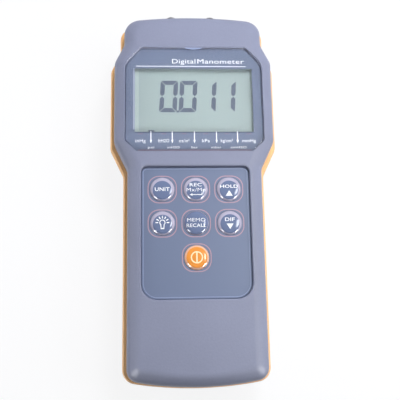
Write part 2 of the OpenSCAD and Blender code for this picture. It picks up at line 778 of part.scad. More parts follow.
// Each station is the middle of a ring and the lean of the tube there
function tube_ring(station, r) =
    [for (i = [0:tube_sides - 1]) let (t = 360 * i / tube_sides, lean = station[2])
        [station[0] + r * cos(t) * cos(lean), station[1] + r * cos(t) * sin(lean), r * sin(t)]];
module tube(side) {
    shift_x = side * (nozzle_x - port_pitch / 2);
    shift_z = nozzle_z - port_z;
    shift = norm([shift_x, shift_z]);
    angle = acos(1 - shift / (2 * bend_r));
    nozzle_end_y = sensor_high_y + nozzle_l;
    middle_y = (port_end_y + nozzle_end_y) / 2;
    stations = concat([[0, port_end_y + tube_overlap, 0]],
        [for (i = [0:bend_steps]) let (g = angle * i / bend_steps)
            [bend_r * (1 - cos(g)), middle_y + bend_r * (sin(angle) - sin(g)), g]],
        [for (i = [1:bend_steps]) let (g = angle * (1 - i / bend_steps))
            [shift - bend_r * (1 - cos(g)), middle_y - bend_r * (sin(angle) - sin(g)), g]],
        [[shift, nozzle_end_y - tube_overlap, 0]]);
    rings = concat([for (v = stations) tube_ring(v, tube_r)],
        [for (i = [1:len(stations)]) tube_ring(stations[len(stations) - i], tube_bore_r)]);
    n = tube_sides;
    m = len(rings);
    color("#d9dadb") translate([side * port_pitch / 2, 0, port_z]) rotate([0, -atan2(shift_z, shift_x), 0])
        polyhedron(points = [for (r = rings) each r],
            faces = [for (k = [0:m - 1]) for (i = [0:n - 1])
                let (j = (i + 1) % n, next = (k + 1) % m) each [
                    [k * n + i, k * n + j, next * n + j],
                    [k * n + i, next * n + j, next * n + i]]],
            convexity = 8);
}
module high_tube() { tube(-1); }
module low_tube() { tube(1); }

// Nine volt block with its two studs, and the snap that takes them
battery_end_gap = 1;
stud_h = 2.4;
stud_r = 2.9;
socket_r = 3.6;
battery_low_y = box_low_y + battery_end_gap;
battery_high_y = battery_low_y + battery_l - stud_h;
stud_pitch = 12.7;
lead_share = 0.57;
lead_z = battery_low_z + battery_h * lead_share;
lead_r = 0.8;
lead_pitch = 2.4;
lead_slot_w = 5;
module battery() {
    color("#33343a") {
        translate([-battery_w / 2, battery_low_y, battery_low_z])
            cube([battery_w, battery_l - stud_h, battery_h]);
        translate([0, battery_high_y - gap, battery_low_z + battery_h / 2]) rotate([-90, 0, 0]) {
            translate([-stud_pitch / 2, 0, 0]) cylinder(r = stud_r, h = stud_h + gap);
            translate([stud_pitch / 2, 0, 0]) cylinder(r = socket_r, h = stud_h + gap, $fn = 6);
        }
    }
}
snap_t = 2.6;
snap_w = 25.7;
snap_h = 12.4;
snap_y = battery_high_y + stud_h + gap;
module battery_snap() {
    color("#202124") translate([-snap_w / 2, snap_y, battery_low_z + (battery_h - snap_h) / 2])
        cube([snap_w, snap_t, snap_h]);
}
lead_turn_r = 3;
lead_clear = 1;
module battery_leads() {
    start_y = snap_y + snap_t;
    turn_y = box_high_y + box_wall + lead_clear;
    color("#b3342e") for (s = [-1, 1]) translate([s * lead_pitch / 2, 0, 0]) {
        translate([0, start_y, lead_z]) rotate([-90, 0, 0]) cylinder(r = lead_r, h = turn_y - start_y);
        translate([0, turn_y, lead_z + lead_turn_r]) rotate([-90, 0, 0]) rotate([0, -90, 0])
            rotate_extrude(angle = 90) translate([lead_turn_r, 0]) circle(r = lead_r);
        translate([0, turn_y + lead_turn_r, lead_z + lead_turn_r])
            cylinder(r = lead_r, h = board_low_z - lead_z - lead_turn_r);
    }
}

// Sliding door; its lower end follows the rounded edge of the case
rib_pitch = 2;
rib_w = 16;
rib_depth = 0.6;
rib_from_edge = 12;
module battery_door() {
    color("#7f86a6") difference() {
        intersection() {
            rear_outside();
            door_blank(0);
        }
        for (i = [0:4]) translate([-rib_w / 2, door_high_y - rib_from_edge + i * rib_pitch, -cut])
            cube([rib_w, rib_pitch / 2, cut + rib_depth]);
    }
}
foam_w = 18;
foam_l = 34;
module battery_foam() {
    color("#3a3a3d") translate([-foam_w / 2, (battery_low_y + battery_high_y - foam_l) / 2,
        box_top_z - roof_t - foam_t]) cube([foam_w, foam_l, foam_t]);
}

// Tilt stand, a plate with a round hinge edge and a finger notch
notch_w = 12;
module tilt_stand() {
    color("#7f86a6") difference() {
        union() {
            difference() {
                translate([-stand_w / 2, stand_y - stand_l, stand_rest_z])
                    cube([stand_w, stand_l, stand_t]);
                translate([0, stand_y - stand_l, -cut]) cylinder(r = notch_w / 2, h = stand_top_z + cut);
            }
            translate([-stand_w / 2, stand_y, hinge_z]) rotate([0, 90, 0]) cylinder(r = hinge_r, h = stand_w);
        }
        translate([-stand_w / 2 - cut, stand_y, hinge_z]) rotate([0, 90, 0])
            cylinder(r = pin_r + pin_gap, h = stand_w + 2 * cut);
    }
}
module stand_pin() {
    color("#c3c4c6") translate([-pin_l / 2 + gap, stand_y, hinge_z]) rotate([0, 90, 0])
        cylinder(r = pin_r, h = pin_l - 2 * gap);
}

insert_sunk = 0.2;
insert_floor = 1.2;
module tripod_insert() {
    color("#c8a24a") translate([0, tripod_y, insert_sunk]) difference() {
        cylinder(r = tripod_insert_r, h = tripod_h - insert_sunk);
        translate([0, 0, -cut]) cylinder(r = tripod_r, h = tripod_h - insert_sunk - insert_floor + cut);
    }
}

screw_head_t = 2;
cross_l = 3;
cross_w = 0.6;
cross_depth = 0.9;
module case_screws() {
    color("#b9bcc2") at_places(case_screw_places) difference() {
        union() {
            translate([0, 0, screw_seat_z - screw_head_t]) cylinder(r = screw_head_r, h = screw_head_t);
            translate([0, 0, screw_seat_z - gap])
                cylinder(r = screw_r, h = joint_z - screw_seat_z + screw_bite - tip_gap);
        }
        for (g = [0, 90]) rotate([0, 0, g])
            translate([-cross_l / 2, -cross_w / 2, screw_seat_z - screw_head_t - cut])
                cube([cross_l, cross_w, cross_depth + cut]);
    }
}

front_shell();
rear_shell();
side_band();
display_lens();
lens_mask();
lcd_panel();
lcd_holder();
zebra_strips();
backlight_panel();
keypad_panel();
keypad_mat();
contact_pads();
unit_key();
record_key();
hold_key();
light_key();
memo_key();
diff_key();
power_key();
main_board();
board_chips();
board_screws();
buzzer();
pressure_sensor();
high_tube();
low_tube();
high_port();
low_port();
port_nuts();
port_rings();
battery();
battery_foam();
battery_snap();
battery_leads();
battery_door();
tilt_stand();
stand_pin();
tripod_insert();
case_screws();
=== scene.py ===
import math

import bmesh
import bpy
from mathutils import Matrix, Vector


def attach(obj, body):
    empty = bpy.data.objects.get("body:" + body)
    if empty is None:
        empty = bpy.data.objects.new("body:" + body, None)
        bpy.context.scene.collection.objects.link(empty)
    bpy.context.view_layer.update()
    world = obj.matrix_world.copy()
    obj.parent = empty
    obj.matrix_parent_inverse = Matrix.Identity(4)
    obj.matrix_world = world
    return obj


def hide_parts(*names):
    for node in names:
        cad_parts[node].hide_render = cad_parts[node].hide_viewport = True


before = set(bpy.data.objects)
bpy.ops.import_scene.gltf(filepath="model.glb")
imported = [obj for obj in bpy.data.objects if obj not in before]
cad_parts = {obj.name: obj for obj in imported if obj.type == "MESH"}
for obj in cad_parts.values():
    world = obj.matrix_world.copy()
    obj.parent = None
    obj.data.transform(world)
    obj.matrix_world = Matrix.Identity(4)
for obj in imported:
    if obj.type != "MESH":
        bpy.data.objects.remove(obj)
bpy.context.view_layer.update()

# Sizes of the meter in millimetres, as its solids have them.
HEAD_W, GRIP_W, NECK_W = 72.0, 60.6, 63.8
LOW_END, HIGH_END = -83.0, 74.0
LOW_BOW, HIGH_BOW = 2.9, 1.9
GRIP_END, HEAD_LOW, HEAD_HIGH, NECK_LOW = 5.0, 17.0, 53.1, 61.2
FACE_Z, JOINT_Z, STRIP_H = 34.0, 17.0, 7.2
STRIP_OUT, STRIP_OUT_END, STRIP_STOP = 2.3, 0.8, 71.8
WALL, SEAM, STRIP_GAP, BACK_ROUND = 2.2, 0.25, 0.1, 7.0
FRONT_SIDE, FRONT_HIGH, FRONT_LOW = 4.3, 4.2, 6.0  # how far the front's border reaches in
BACK_SIDE, BACK_HIGH, BACK_LOW = 4.2, 2.4, 3.8  # how far the round of the back reaches in
LENS_W, LENS_LOW, LENS_HIGH = 58.0, 12.2, 58.0
LENS_LOW_HALF, LENS_LOW_CUT, LENS_HIGH_HALF, LENS_HIGH_CUT = 24.1, 4.6, 22.2, 7.2
WINDOW_W, WINDOW_H, WINDOW_Y = 49.6, 28.1, 34.8
LENS_TOP, LENS_UNDER, MASK_TOP, LENS_SEAT = 33.7, 32.13, 32.1, 31.9
LCD_W, LCD_H, LCD_TOP, LCD_LOW = 55.0, 34.4, 29.8, 27.4
PAD_W, PAD_LOW, PAD_HIGH = 44.2, -48.2, 5.6
PAD_TOP, PAD_SEAT, CEILING = 32.3, 31.7, 30.0
PAD_R_LOW, PAD_R_HIGH = 6.4, 2.4
KEY_R = 5.05
KEYS = {"unit": (-13.6, -3.8), "record": (0, -3.8), "hold": (13.6, -3.8), "light": (-13.6, -17.8),
        "memo": (0, -17.8), "diff": (13.6, -17.8), "power": (0, -31.8)}
BOX_LOW, BOX_HIGH, BOX_W, BOX_ROOF = -76.0, -20.6, 28.3, 20.7
CELL_W, CELL_T, CELL_LOW, CELL_Z, CELL_EDGE = 26.5, 17.5, -75.0, 11.25, 0.6
DOOR_W, DOOR_L, DOOR_HIGH, DOOR_T, TONGUE_W, TONGUE_T = 31.6, 70.0, -19.6, 2.2, 1.4, 0.9
STAND_W, STAND_Y, STAND_L, HINGE_Z, HINGE_R = 37.4, 52.5, 58.0, 2.5, 2.1
STAND_LOW, STAND_TOP, STAND_ROUND, STAND_RECESS = 0.2, 2.4, 0.4, 2.7
TRIPOD_Y, TRIPOD_R, TRIPOD_L = -13.0, 4.4, 9.0
CASE_SCREWS = [(21.6, 66), (-21.6, 66), (20, -66), (-20, -66)]
SCREW_WELL_R, SCREW_WELL, SCREW_BORE_R = 2.8, 5.0, 1.5
PORT_X, PORT_Y, PORT_Z = 9.0, 73.69, 11.0
PORT_L, HEX_FLATS, HEX_T = 9.31, 8.0, 1.4
PAST = 1.0  # overrun of a cutter past the surface it opens
CAPITAL = 0.682  # height of the built-in font's capitals, in letter sizes


# Camera, matched to the photo.
def place_camera():
    lens = bpy.data.cameras.new("photo_view")
    lens.lens, lens.sensor_width = 58.5, 36.0
    lens.clip_start, lens.clip_end = 0.01, 20.0
    view = bpy.data.objects.new("photo_view", lens)
    turn = (Matrix.Rotation(math.radians(0.364), 3, "Z") @ Matrix.Rotation(math.radians(3.347), 3, "Y")
            @ Matrix.Rotation(math.radians(-12.188), 3, "X"))
    view.matrix_world = Matrix.Translation((-0.01373, -0.06402, 0.29050)) @ turn.transposed().to_4x4()
    bpy.context.collection.objects.link(view)
    bpy.context.scene.camera = view


# Outlines, each a closed list of points.
def rounded(knots):
    """Corners x, y, radius, steps; a radius of 0 keeps the point."""
    points = []
    for i, (x, y, r, steps) in enumerate(knots):
        corner = Vector((x, y))
        if not r:
            points.append(corner)
            continue
        back = (Vector(knots[i - 1][:2]) - corner).normalized()
        ahead = (Vector(knots[(i + 1) % len(knots)][:2]) - corner).normalized()
        half = back.angle(ahead) / 2
        middle = corner + (back + ahead).normalized() * (r / math.sin(half))
        start = corner + back * (r / math.tan(half)) - middle
        stop = corner + ahead * (r / math.tan(half)) - middle
        turn = math.copysign(math.pi - 2 * half, start.cross(stop))
        points += [middle + Matrix.Rotation(turn * k / steps, 2) @ start for k in range(steps + 1)]
    return points


def case_outline(side, high, low, r_high, r_low):
    """The case, drawn in from the outside of the strip on its three edges."""
    grip, head, neck = GRIP_W / 2 - side, HEAD_W / 2 - side, NECK_W / 2 - side
    low_turn = math.atan2((HEAD_W - GRIP_W) / 2, HEAD_LOW - GRIP_END)
    high_turn = math.atan2((HEAD_W - NECK_W) / 2, NECK_LOW - HEAD_HIGH)
    up, down = side * math.tan(low_turn / 2), side * math.tan(high_turn / 2)
    y0, y1 = LOW_END + low, HIGH_END - high
    bows = [k / 12 for k in range(1, 10)]
    right = ([(grip * v, y0 + LOW_BOW * v * v, 0, 0) for v in bows]
             + [(grip, y0 + LOW_BOW, r_low, 14), (grip, GRIP_END + up, 6, 8), (head, HEAD_LOW + up, 5, 8),
                (head, HEAD_HIGH - down, 5, 8), (neck, NECK_LOW - down, 6, 8),
                (neck, y1 - HIGH_BOW, r_high, 14)]
             + [(neck * v, y1 - HIGH_BOW * v * v, 0, 0) for v in reversed(bows)])
    left = [(-x, y, r, steps) for x, y, r, steps in reversed(right)]
    return rounded([(0, y0, 0, 0)] + right + [(0, y1, 0, 0)] + left)


def lens_outline(grow=0.0):
    h, y0, y1 = LENS_W / 2 + grow, LENS_LOW - grow, LENS_HIGH + grow
    right = [(LENS_LOW_HALF, y0, 1.2 + grow, 8), (h, y0 + LENS_LOW_CUT, 2.5 + grow, 10),
             (h, y1 - LENS_HIGH_CUT, 7 + grow, 14), (LENS_HIGH_HALF, y1, 2.5 + grow, 10)]
    return rounded(right + [(-x, y, r, n) for x, y, r, n in reversed(right)])


def pad_outline(grow=0.0):
    h, y0, y1 = PAD_W / 2 + grow, PAD_LOW - grow, PAD_HIGH + grow
    low, high = PAD_R_LOW + grow, PAD_R_HIGH + grow
    return rounded([(h, y0, low, 16), (h, y1, high, 12), (-h, y1, high, 12), (-h, y0, low, 16)])


def box_outline(w, h, x=0.0, y=0.0, r=0.0, steps=8):
    corners = [(w / 2, -h / 2), (w / 2, h / 2), (-w / 2, h / 2), (-w / 2, -h / 2)]
    return rounded([(x + a, y + b, r, steps) for a, b in corners])


def circle_outline(r, x=0.0, y=0.0, steps=64):
    return [Vector((x + r * math.cos(math.tau * k / steps), y + r * math.sin(math.tau * k / steps)))
            for k in range(steps)]


def quarter(steps):
    """Angles of a quarter turn, its two ends among them."""
    return [math.pi / 2 * k / steps for k in range(steps + 1)]


# Mesh work in millimetres: rings that climb, flats that close them, and turned shapes.
def lay(bm, points, z):
    ring = [bm.verts.new((p[0], p[1], z)) for p in points]
    for a, b in zip(ring, ring[1:] + ring[:1]):
        bm.edges.new((a, b))
    return ring


def ring_edges(bm, ring):
    return [bm.edges.get((a, b)) for a, b in zip(ring, ring[1:] + ring[:1])]


def climb(bm, ring, points, z, closed=True):
    """Extrudes a ring and sets the new one on points at height z."""
    edges = ring_edges(bm, ring) if closed else ring_edges(bm, ring)[:-1]
    made = {g for g in bmesh.ops.extrude_edge_only(bm, edges=edges)["geom"]
            if isinstance(g, bmesh.types.BMVert)}
    top = []
    for v, p in zip(ring, points):
        new = next(e.other_vert(v) for e in v.link_edges if e.other_vert(v) in made)
        new.co = (p[0], p[1], z)
        top.append(new)
    return top


def fill(bm, *rings):
    """Fills the flat between an outer ring and the rings inside it."""
    edges = [e for ring in rings for e in ring_edges(bm, ring)]
    bmesh.ops.triangle_fill(bm, use_beauty=True, use_dissolve=False, edges=edges)


def stack(bm, levels, first=True, last=True):
    """Walls through levels of (points, z), closed by a flat at either end."""
    ring = bottom = lay(bm, *levels[0])
    for points, z in levels[1:]:
        ring = climb(bm, ring, points, z)
    if first:
        fill(bm, bottom)
    if last:
        fill(bm, ring)
    return bottom, ring


def turned(bm, profile, x=0.0, y=0.0, steps=64):
    """Spins a profile of (r, z) about the upright axis at x, y."""
    line = [bm.verts.new((x + r, y, z)) for r, z in profile]
    edges = [bm.edges.new(pair) for pair in zip(line, line[1:])]
    bmesh.ops.spin(bm, geom=line + edges, cent=(x, y, 0), axis=(0, 0, 1), angle=math.tau,
                   steps=steps, use_merge=True)
    poles = [v for v in bm.verts if math.hypot(v.co.x - x, v.co.y - y) < 0.001]
    bmesh.ops.remove_doubles(bm, verts=poles, dist=0.001)


def block(bm, low, high):
    """A cuboid between two corners."""
    low, high = Vector(low), Vector(high)
    size = high - low
    place = Matrix.Translation((low + high) / 2) @ Matrix.Diagonal((size.x, size.y, size.z, 1))
    return bmesh.ops.create_cube(bm, size=1, matrix=place)["verts"]


def rod(bm, start, end, r, segments=32):
    """A cylinder between two points."""
    start, end = Vector(start), Vector(end)
    along = end - start
    place = Matrix.Translation((start + end) / 2) @ along.to_track_quat("Z", "Y").to_matrix().to_4x4()
    bmesh.ops.create_cone(bm, cap_ends=True, segments=segments, radius1=r, radius2=r,
                          depth=along.length, matrix=place)


def well(bm, outline, depth, lip, steps=4, face=None):
    """A cutter that sinks a recess into the resting face, or down from a face, with a rounded lip."""
    levels = ([(outline(lip), -PAST)]
              + [(outline(lip * (1 - math.sin(g))), lip * (1 - math.cos(g))) for g in quarter(steps)]
              + [(outline(0), depth)])
    stack(bm, levels if face is None else [(points, face - z) for points, z in levels])


def to_mesh(bm, name, weld=0.002):
    bmesh.ops.remove_doubles(bm, verts=bm.verts, dist=weld)
    bmesh.ops.dissolve_degenerate(bm, dist=0.0005, edges=bm.edges)
    bmesh.ops.recalc_face_normals(bm, faces=bm.faces)
    mesh = bpy.data.meshes.new(name)
    bm.to_mesh(mesh)
    bm.free()
    return mesh


def carved(mesh, *tools):
    """Joins solids to a mesh or cuts them out of it; each tool is a bmesh and what it does."""
    work = bpy.data.objects.new("work", mesh)
    bpy.context.collection.objects.link(work)
    for bm, deed in tools:
        tool = bpy.data.objects.new("tool", to_mesh(bm, "tool"))
        bpy.context.collection.objects.link(tool)
        step = work.modifiers.new("carve", "BOOLEAN")
        step.operation, step.solver, step.object, step.use_self = deed, "EXACT", tool, True
        bpy.context.view_layer.update()
        done = bpy.data.meshes.new_from_object(work.evaluated_get(bpy.context.evaluated_depsgraph_get()))
        work.modifiers.clear()
        work.data = done
        bpy.data.objects.remove(tool)
    bpy.data.objects.remove(work)
    return done


def settle(made, name, body, material, replaces=(), angle=32):
    """Makes a finished piece of a mesh in millimetres and lets it ride on its body."""
    mesh = to_mesh(made, name) if isinstance(made, bmesh.types.BMesh) else made
    mesh.name = name
    mesh.transform(Matrix.Scale(0.001, 4))
    piece = bpy.data.objects.new(name, mesh)
    bpy.context.collection.objects.link(piece)
    mesh.shade_smooth()
    mesh.set_sharp_from_angle(angle=math.radians(angle))
    piece.modifiers.new("even_normals", "WEIGHTED_NORMAL").keep_sharp = True
    mesh.materials.clear()
    mesh.materials.append(material)
    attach(piece, body)
    if replaces:
        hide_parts(*replaces)
    return piece


# Printed marks: flat shapes a few hundredths thick.
def words(bm, text, capital, span, x, y, z, bold=0.03, thick=0.02, turn=None):
    """Adds words standing from z up: height of the capitals, full width, middle of the capitals."""
    curve = bpy.data.curves.new("words", "FONT")
    curve.body, curve.size, curve.space_character = text, capital / CAPITAL, 1.04
    curve.align_x, curve.align_y = "CENTER", "TOP_BASELINE"
    curve.extrude, curve.offset, curve.resolution_u = thick / 2, bold * capital, 3
    obj = bpy.data.objects.new("words", curve)
    bpy.context.collection.objects.link(obj)
    bpy.context.view_layer.update()
    mesh = bpy.data.meshes.new_from_object(obj.evaluated_get(bpy.context.evaluated_depsgraph_get()))
    left, right = min(v.co.x for v in mesh.vertices), max(v.co.x for v in mesh.vertices)
    wide = span / (right - left)
    place = (Matrix.Translation((x - wide * (left + right) / 2, y - capital / 2, z + thick / 2))
             @ Matrix.Diagonal((wide, 1, 1, 1)))
    mesh.transform(turn @ place if turn else place)
    bm.from_mesh(mesh)
    bpy.data.objects.remove(obj)
    bpy.data.meshes.remove(mesh)


def plate(bm, points, z, thick=0.02):
    """A flat printed shape of its own outline."""
    stack(bm, [(points, z), (points, z + thick)])


def stroke(bm, a, b, w, z, thick=0.02):
    a, b = Vector(a), Vector(b)
    across = (b - a).orthogonal().normalized() * (w / 2)
    plate(bm, [a - across, b - across, b + across, a + across], z, thick)


def frame_line(bm, outer, inner, z, thick=0.02):
    """A closed line between two outlines."""
    low_outer, low_inner = lay(bm, outer, z), lay(bm, inner, z)
    fill(bm, low_outer, low_inner)
    fill(bm, climb(bm, low_outer, outer, z + thick), climb(bm, low_inner, inner, z + thick))


# Finishes.
def calculate(tree, operation, *inputs):
    """A math node on numbers and sockets; returns the socket of its result."""
    node = tree.nodes.new("ShaderNodeMath")
    node.operation = operation
    for socket, value in zip(node.inputs, inputs):
        if isinstance(value, float):
            socket.default_value = value
        else:
            tree.links.new(value, socket)
    return node.outputs[0]


def linear(code):
    channel = [int(code[k:k + 2], 16) / 255 for k in (1, 3, 5)]
    return tuple(c / 12.92 if c <= 0.04045 else ((c + 0.055) / 1.055) ** 2.4 for c in channel) + (1.0,)


def moulded_grain():
    """Fine grain of a moulded or printed surface, with a faint drift of tone and gloss."""
    group = bpy.data.node_groups.new("moulded_grain", "ShaderNodeTree")
    face = group.interface
    face.new_socket("Color", in_out="INPUT", socket_type="NodeSocketColor")
    for name, value in (("Scale", 1500.0), ("Depth", 0.1), ("Drift", 0.04), ("Roughness", 0.5)):
        face.new_socket(name, in_out="INPUT", socket_type="NodeSocketFloat").default_value = value
    face.new_socket("Color", in_out="OUTPUT", socket_type="NodeSocketColor")
    face.new_socket("Roughness", in_out="OUTPUT", socket_type="NodeSocketFloat")
    face.new_socket("Normal", in_out="OUTPUT", socket_type="NodeSocketVector")
    nodes, links = group.nodes, group.links
    start, end = nodes.new("NodeGroupInput"), nodes.new("NodeGroupOutput")
    place = nodes.new("ShaderNodeTexCoord")
    fine, wide = nodes.new("ShaderNodeTexNoise"), nodes.new("ShaderNodeTexNoise")
    fine.inputs["Detail"].default_value = 3.0
    wide.inputs["Scale"].default_value = 22.0
    wide.inputs["Detail"].default_value = 2.0
    for noise in (fine, wide):
        links.new(place.outputs["Object"], noise.inputs["Vector"])
    links.new(start.outputs["Scale"], fine.inputs["Scale"])
    bump = nodes.new("ShaderNodeBump")
    bump.inputs["Distance"].default_value = 0.00006
    links.new(start.outputs["Depth"], bump.inputs["Strength"])
    links.new(fine.outputs["Fac"], bump.inputs["Height"])
    links.new(bump.outputs["Normal"], end.inputs["Normal"])
    # Tone: 1 + Drift * (wide - 0.5) + Drift / 2 * (fine - 0.5)
    both = calculate(group, "MULTIPLY_ADD", fine.outputs["Fac"], 0.5, wide.outputs["Fac"])
    centre = calculate(group, "SUBTRACT", both, 0.75)
    tone = calculate(group, "MULTIPLY_ADD", centre, start.outputs["Drift"], 1.0)
    shade = nodes.new("ShaderNodeVectorMath")
    shade.operation = "SCALE"
    links.new(start.outputs["Color"], shade.inputs[0])
    links.new(tone, shade.inputs["Scale"])
    links.new(shade.outputs[0], end.inputs["Color"])
    links.new(calculate(group, "MULTIPLY", start.outputs["Roughness"], tone), end.inputs["Roughness"])
    return group


GRAIN = moulded_grain()
LEAD_RED, LEAD_BLACK = "#b3342e", "#1d1e21"


def finish(name, code, roughness=0.5, scale=1500.0, depth=0.15, drift=0.08, **sockets):
    """A material whose colour, roughness and normal come from the shared grain."""
    material = bpy.data.materials.new(name)
    material.use_nodes = True
    nodes, links = material.node_tree.nodes, material.node_tree.links
    shader = nodes["Principled BSDF"]
    grain = nodes.new("ShaderNodeGroup")
    grain.node_tree = GRAIN
    grain.name = "grain"
    grain.inputs["Color"].default_value = linear(code)
    for socket, value in (("Scale", scale), ("Depth", depth), ("Drift", drift), ("Roughness", roughness)):
        grain.inputs[socket].default_value = value
    links.new(grain.outputs["Color"], shader.inputs["Base Color"])
    links.new(grain.outputs["Roughness"], shader.inputs["Roughness"])
    links.new(grain.outputs["Normal"], shader.inputs["Normal"])
    for socket, value in sockets.items():
        shader.inputs[socket.replace("_", " ")].default_value = value
    return material


def lead_colours():
    """Red vinyl on one side of the middle and black on the other."""
    material = finish("lead_vinyl", LEAD_RED, 0.35)
    tree = material.node_tree
    place, split = tree.nodes.new("ShaderNodeTexCoord"), tree.nodes.new("ShaderNodeSeparateXYZ")
    mix = tree.nodes.new("ShaderNodeMix")
    mix.data_type = "RGBA"
    mix.inputs["A"].default_value = linear(LEAD_RED)
    mix.inputs["B"].default_value = linear(LEAD_BLACK)
    tree.links.new(place.outputs["Object"], split.inputs[0])
    tree.links.new(calculate(tree, "GREATER_THAN", split.outputs["X"], 0.0), mix.inputs["Factor"])
    tree.links.new(mix.outputs["Result"], tree.nodes["grain"].inputs["Color"])
    return material


def clear_lens():
    """Clear plastic with a soft sheen, through which light still reaches the display."""
    material = bpy.data.materials.new("clear_lens")
    material.use_nodes = True
    nodes, links = material.node_tree.nodes, material.node_tree.links
    shader = nodes["Principled BSDF"]
    for socket, value in (("Base Color", (0.97, 0.98, 1.0, 1.0)), ("Roughness", 0.03), ("IOR", 1.35),
                          ("Transmission Weight", 1.0), ("Coat Weight", 0.6), ("Coat Roughness", 0.5)):
        shader.inputs[socket].default_value = value
    clear, path = nodes.new("ShaderNodeBsdfTransparent"), nodes.new("ShaderNodeLightPath")
    mix = nodes.new("ShaderNodeMixShader")
    links.new(path.outputs["Is Shadow Ray"], mix.inputs[0])
    links.new(shader.outputs[0], mix.inputs[1])
    links.new(clear.outputs[0], mix.inputs[2])
    links.new(mix.outputs[0], nodes["Material Output"].inputs["Surface"])
    return material


CASE = finish("case_plastic", "#858aa2", 0.48, scale=1300, depth=0.6, drift=0.26)
STRIP = finish("strip_rubber", "#fdc586", 0.5)
PAD_FILM = finish("keypad_film", "#717d99", 0.35, scale=2200)
# Pale colour of painted highlights, on the keypad film's edge and at the nail notch
PAINTED_HIGHLIGHT = finish("painted_highlight", "#929ebf", 0.35, depth=0.0)
# Film of the key caps and rim of the power cap, lighter than the keypad film: partly the film's own tint,
# partly painted light on the caps' lit slopes
KEY_FILM_AND_LIGHT = finish("key_film", "#b4b0c6", 0.12, depth=0.0, Coat_Weight=0.6)
# Dark print of the keys, also used as painted shade on their lower slopes
KEY_PRINT_AND_SHADE = finish("key_print_and_shade", "#6d7a9c", 0.12, depth=0.0, Coat_Weight=0.6)
POWER_RIM_AND_LIGHT = finish("power_rim_and_light", "#f0c0a6", 0.12, depth=0.0, Coat_Weight=0.6)
POWER_FILM = finish("power_film", "#ee9844", 0.15, depth=0.0, Coat_Weight=0.6)
PALE_PRINT = finish("pale_print", "#ffe9bd", 0.3, depth=0.0)
WHITE_PRINT = finish("white_print", "#f4f6fa", 0.4, depth=0.0)
# Pale colour of the painted highlight beside the window
WINDOW_LIGHT = finish("painted_window_light", "#9fa6b8", 0.4, depth=0.0)
WARM_PRINT = finish("warm_print", "#776a7e", 0.4, depth=0.0)
# Dark colour of painted shade at the window's lower edge and round the lens
EDGE_SHADE = finish("painted_edge_shade", "#3c435c", 0.4, depth=0.0)
KEY_LINE = finish("key_line", "#b596a4", 0.35, depth=0.0)
MASK = finish("window_print", "#646f87", 0.3, depth=0.0)
LCD_GLASS = finish("lcd_glass", "#aebcb8", 0.2, depth=0.0)
LCD_FILM = finish("lcd_film", "#97a6a4", 0.35, scale=3000, depth=0.05)
SEGMENT = finish("lcd_segment", "#565f70", 0.3, depth=0.0)
NICKEL = finish("nickel_brass", "#e4e3e2", 0.4, scale=900, depth=0.1, Metallic=1.0)
BRASS = finish("insert_brass", "#c8a24a", 0.28, scale=900, depth=0.1, Metallic=1.0)
STEEL = finish("screw_steel", "#b9bcc2", 0.3, scale=900, depth=0.1, Metallic=1.0)
JACKET = finish("battery_jacket", "#2f3138", 0.3, depth=0.05)
LENS = clear_lens()
INSIDE = {
    "lcd_holder": finish("white_plastic", "#e8e8e6", 0.5),
    "zebra_strips": finish("zebra_rubber", "#5a5a5c", 0.8),
    "backlight_panel": finish("light_guide", "#f4f4ee", 0.3),
    "keypad_mat": finish("mat_rubber", "#4a4d57", 0.7),
    "contact_pads": finish("gold_contact", "#d8b04a", 0.3, Metallic=1.0),
    "main_board": finish("board_laminate", "#2f6b45", 0.35, scale=500, drift=0.3),
    "board_chips": finish("chip_black", "#2b2b2f", 0.5),
    "board_screws": STEEL,
    "buzzer": finish("buzzer_black", "#1f1f22", 0.45),
    "pressure_sensor": finish("sensor_body", "#ded9cc", 0.5),
    "high_tube": finish("soft_tube", "#d9dadb", 0.3),
    "port_nuts": NICKEL,
    "port_rings": finish("seal_rubber", "#1c1c1e", 0.6),
    "battery_foam": finish("foam", "#3a3a3d", 0.9, 700, 1.0, 0.4),
    "battery_snap": finish("snap_plastic", "#202124", 0.4),
    "battery_leads": lead_colours(),
    "stand_pin": STEEL}
INSIDE["low_tube"] = INSIDE["high_tube"]


# Shells.
def front_level(z, k, inward=0.0):
    """Outline of the front shell at z; k goes from 0 at its wall to 1 at the end of its border."""
    return (case_outline(STRIP_OUT + 0.3 * min(1, k * 4) + FRONT_SIDE * k + inward, FRONT_HIGH * k + inward,
                         STRIP_OUT_END + FRONT_LOW * k + inward, max(4 - inward, 0.8),
                         max(5 - 3.6 * k - inward, 0.8)), z)


def rear_level(z, k, inward=0.0):
    """Outline of the rear shell at z; k goes from 0 at its wall to 1 at the resting face."""
    return (case_outline(STRIP_OUT + BACK_SIDE * k + inward, BACK_HIGH * k + inward,
                         STRIP_OUT_END + BACK_LOW * k + inward,
                         max(4 - inward, 0.8), max(5 - 2 * k - inward, 0.8)), z)


def in_channel(z, seam=0.0):
    """A level whose sides and lower end step in where the strip sits."""
    outside = case_outline(STRIP_OUT + seam, seam, STRIP_OUT_END + seam, 4, 5)
    seat = case_outline(STRIP_OUT + 1, seam, STRIP_OUT_END + 1, 3, 4)
    return [s if o.y < STRIP_STOP else o for o, s in zip(outside, seat)], z


# Border of the front, from its side wall to the face: how far in, how far down.
BORDER = [(0.0, 7.0), (0.1, 5.2), (0.35, 3.8), (0.7, 2.95), (1.2, 2.25), (1.8, 1.75), (2.5, 1.3), (3.2, 0.88),
          (3.8, 0.56), (4.4, 0.31), (5.0, 0.14), (5.6, 0.045), (6.2, 0.0)]
END_DROP, END_SET = 9.0, 0.25


def border_level(reach, drop):
    """The sides and lower end fall as a soft border, the upper end as a quarter of an ellipse."""
    round_in = FRONT_HIGH * (1 - math.sqrt(1 - (1 - drop / END_DROP) ** 2))
    return (case_outline(STRIP_OUT + reach, round_in, STRIP_OUT_END + END_SET + 0.88 * reach,
                         6.5, 5 - 0.65 * reach), FACE_Z - drop)


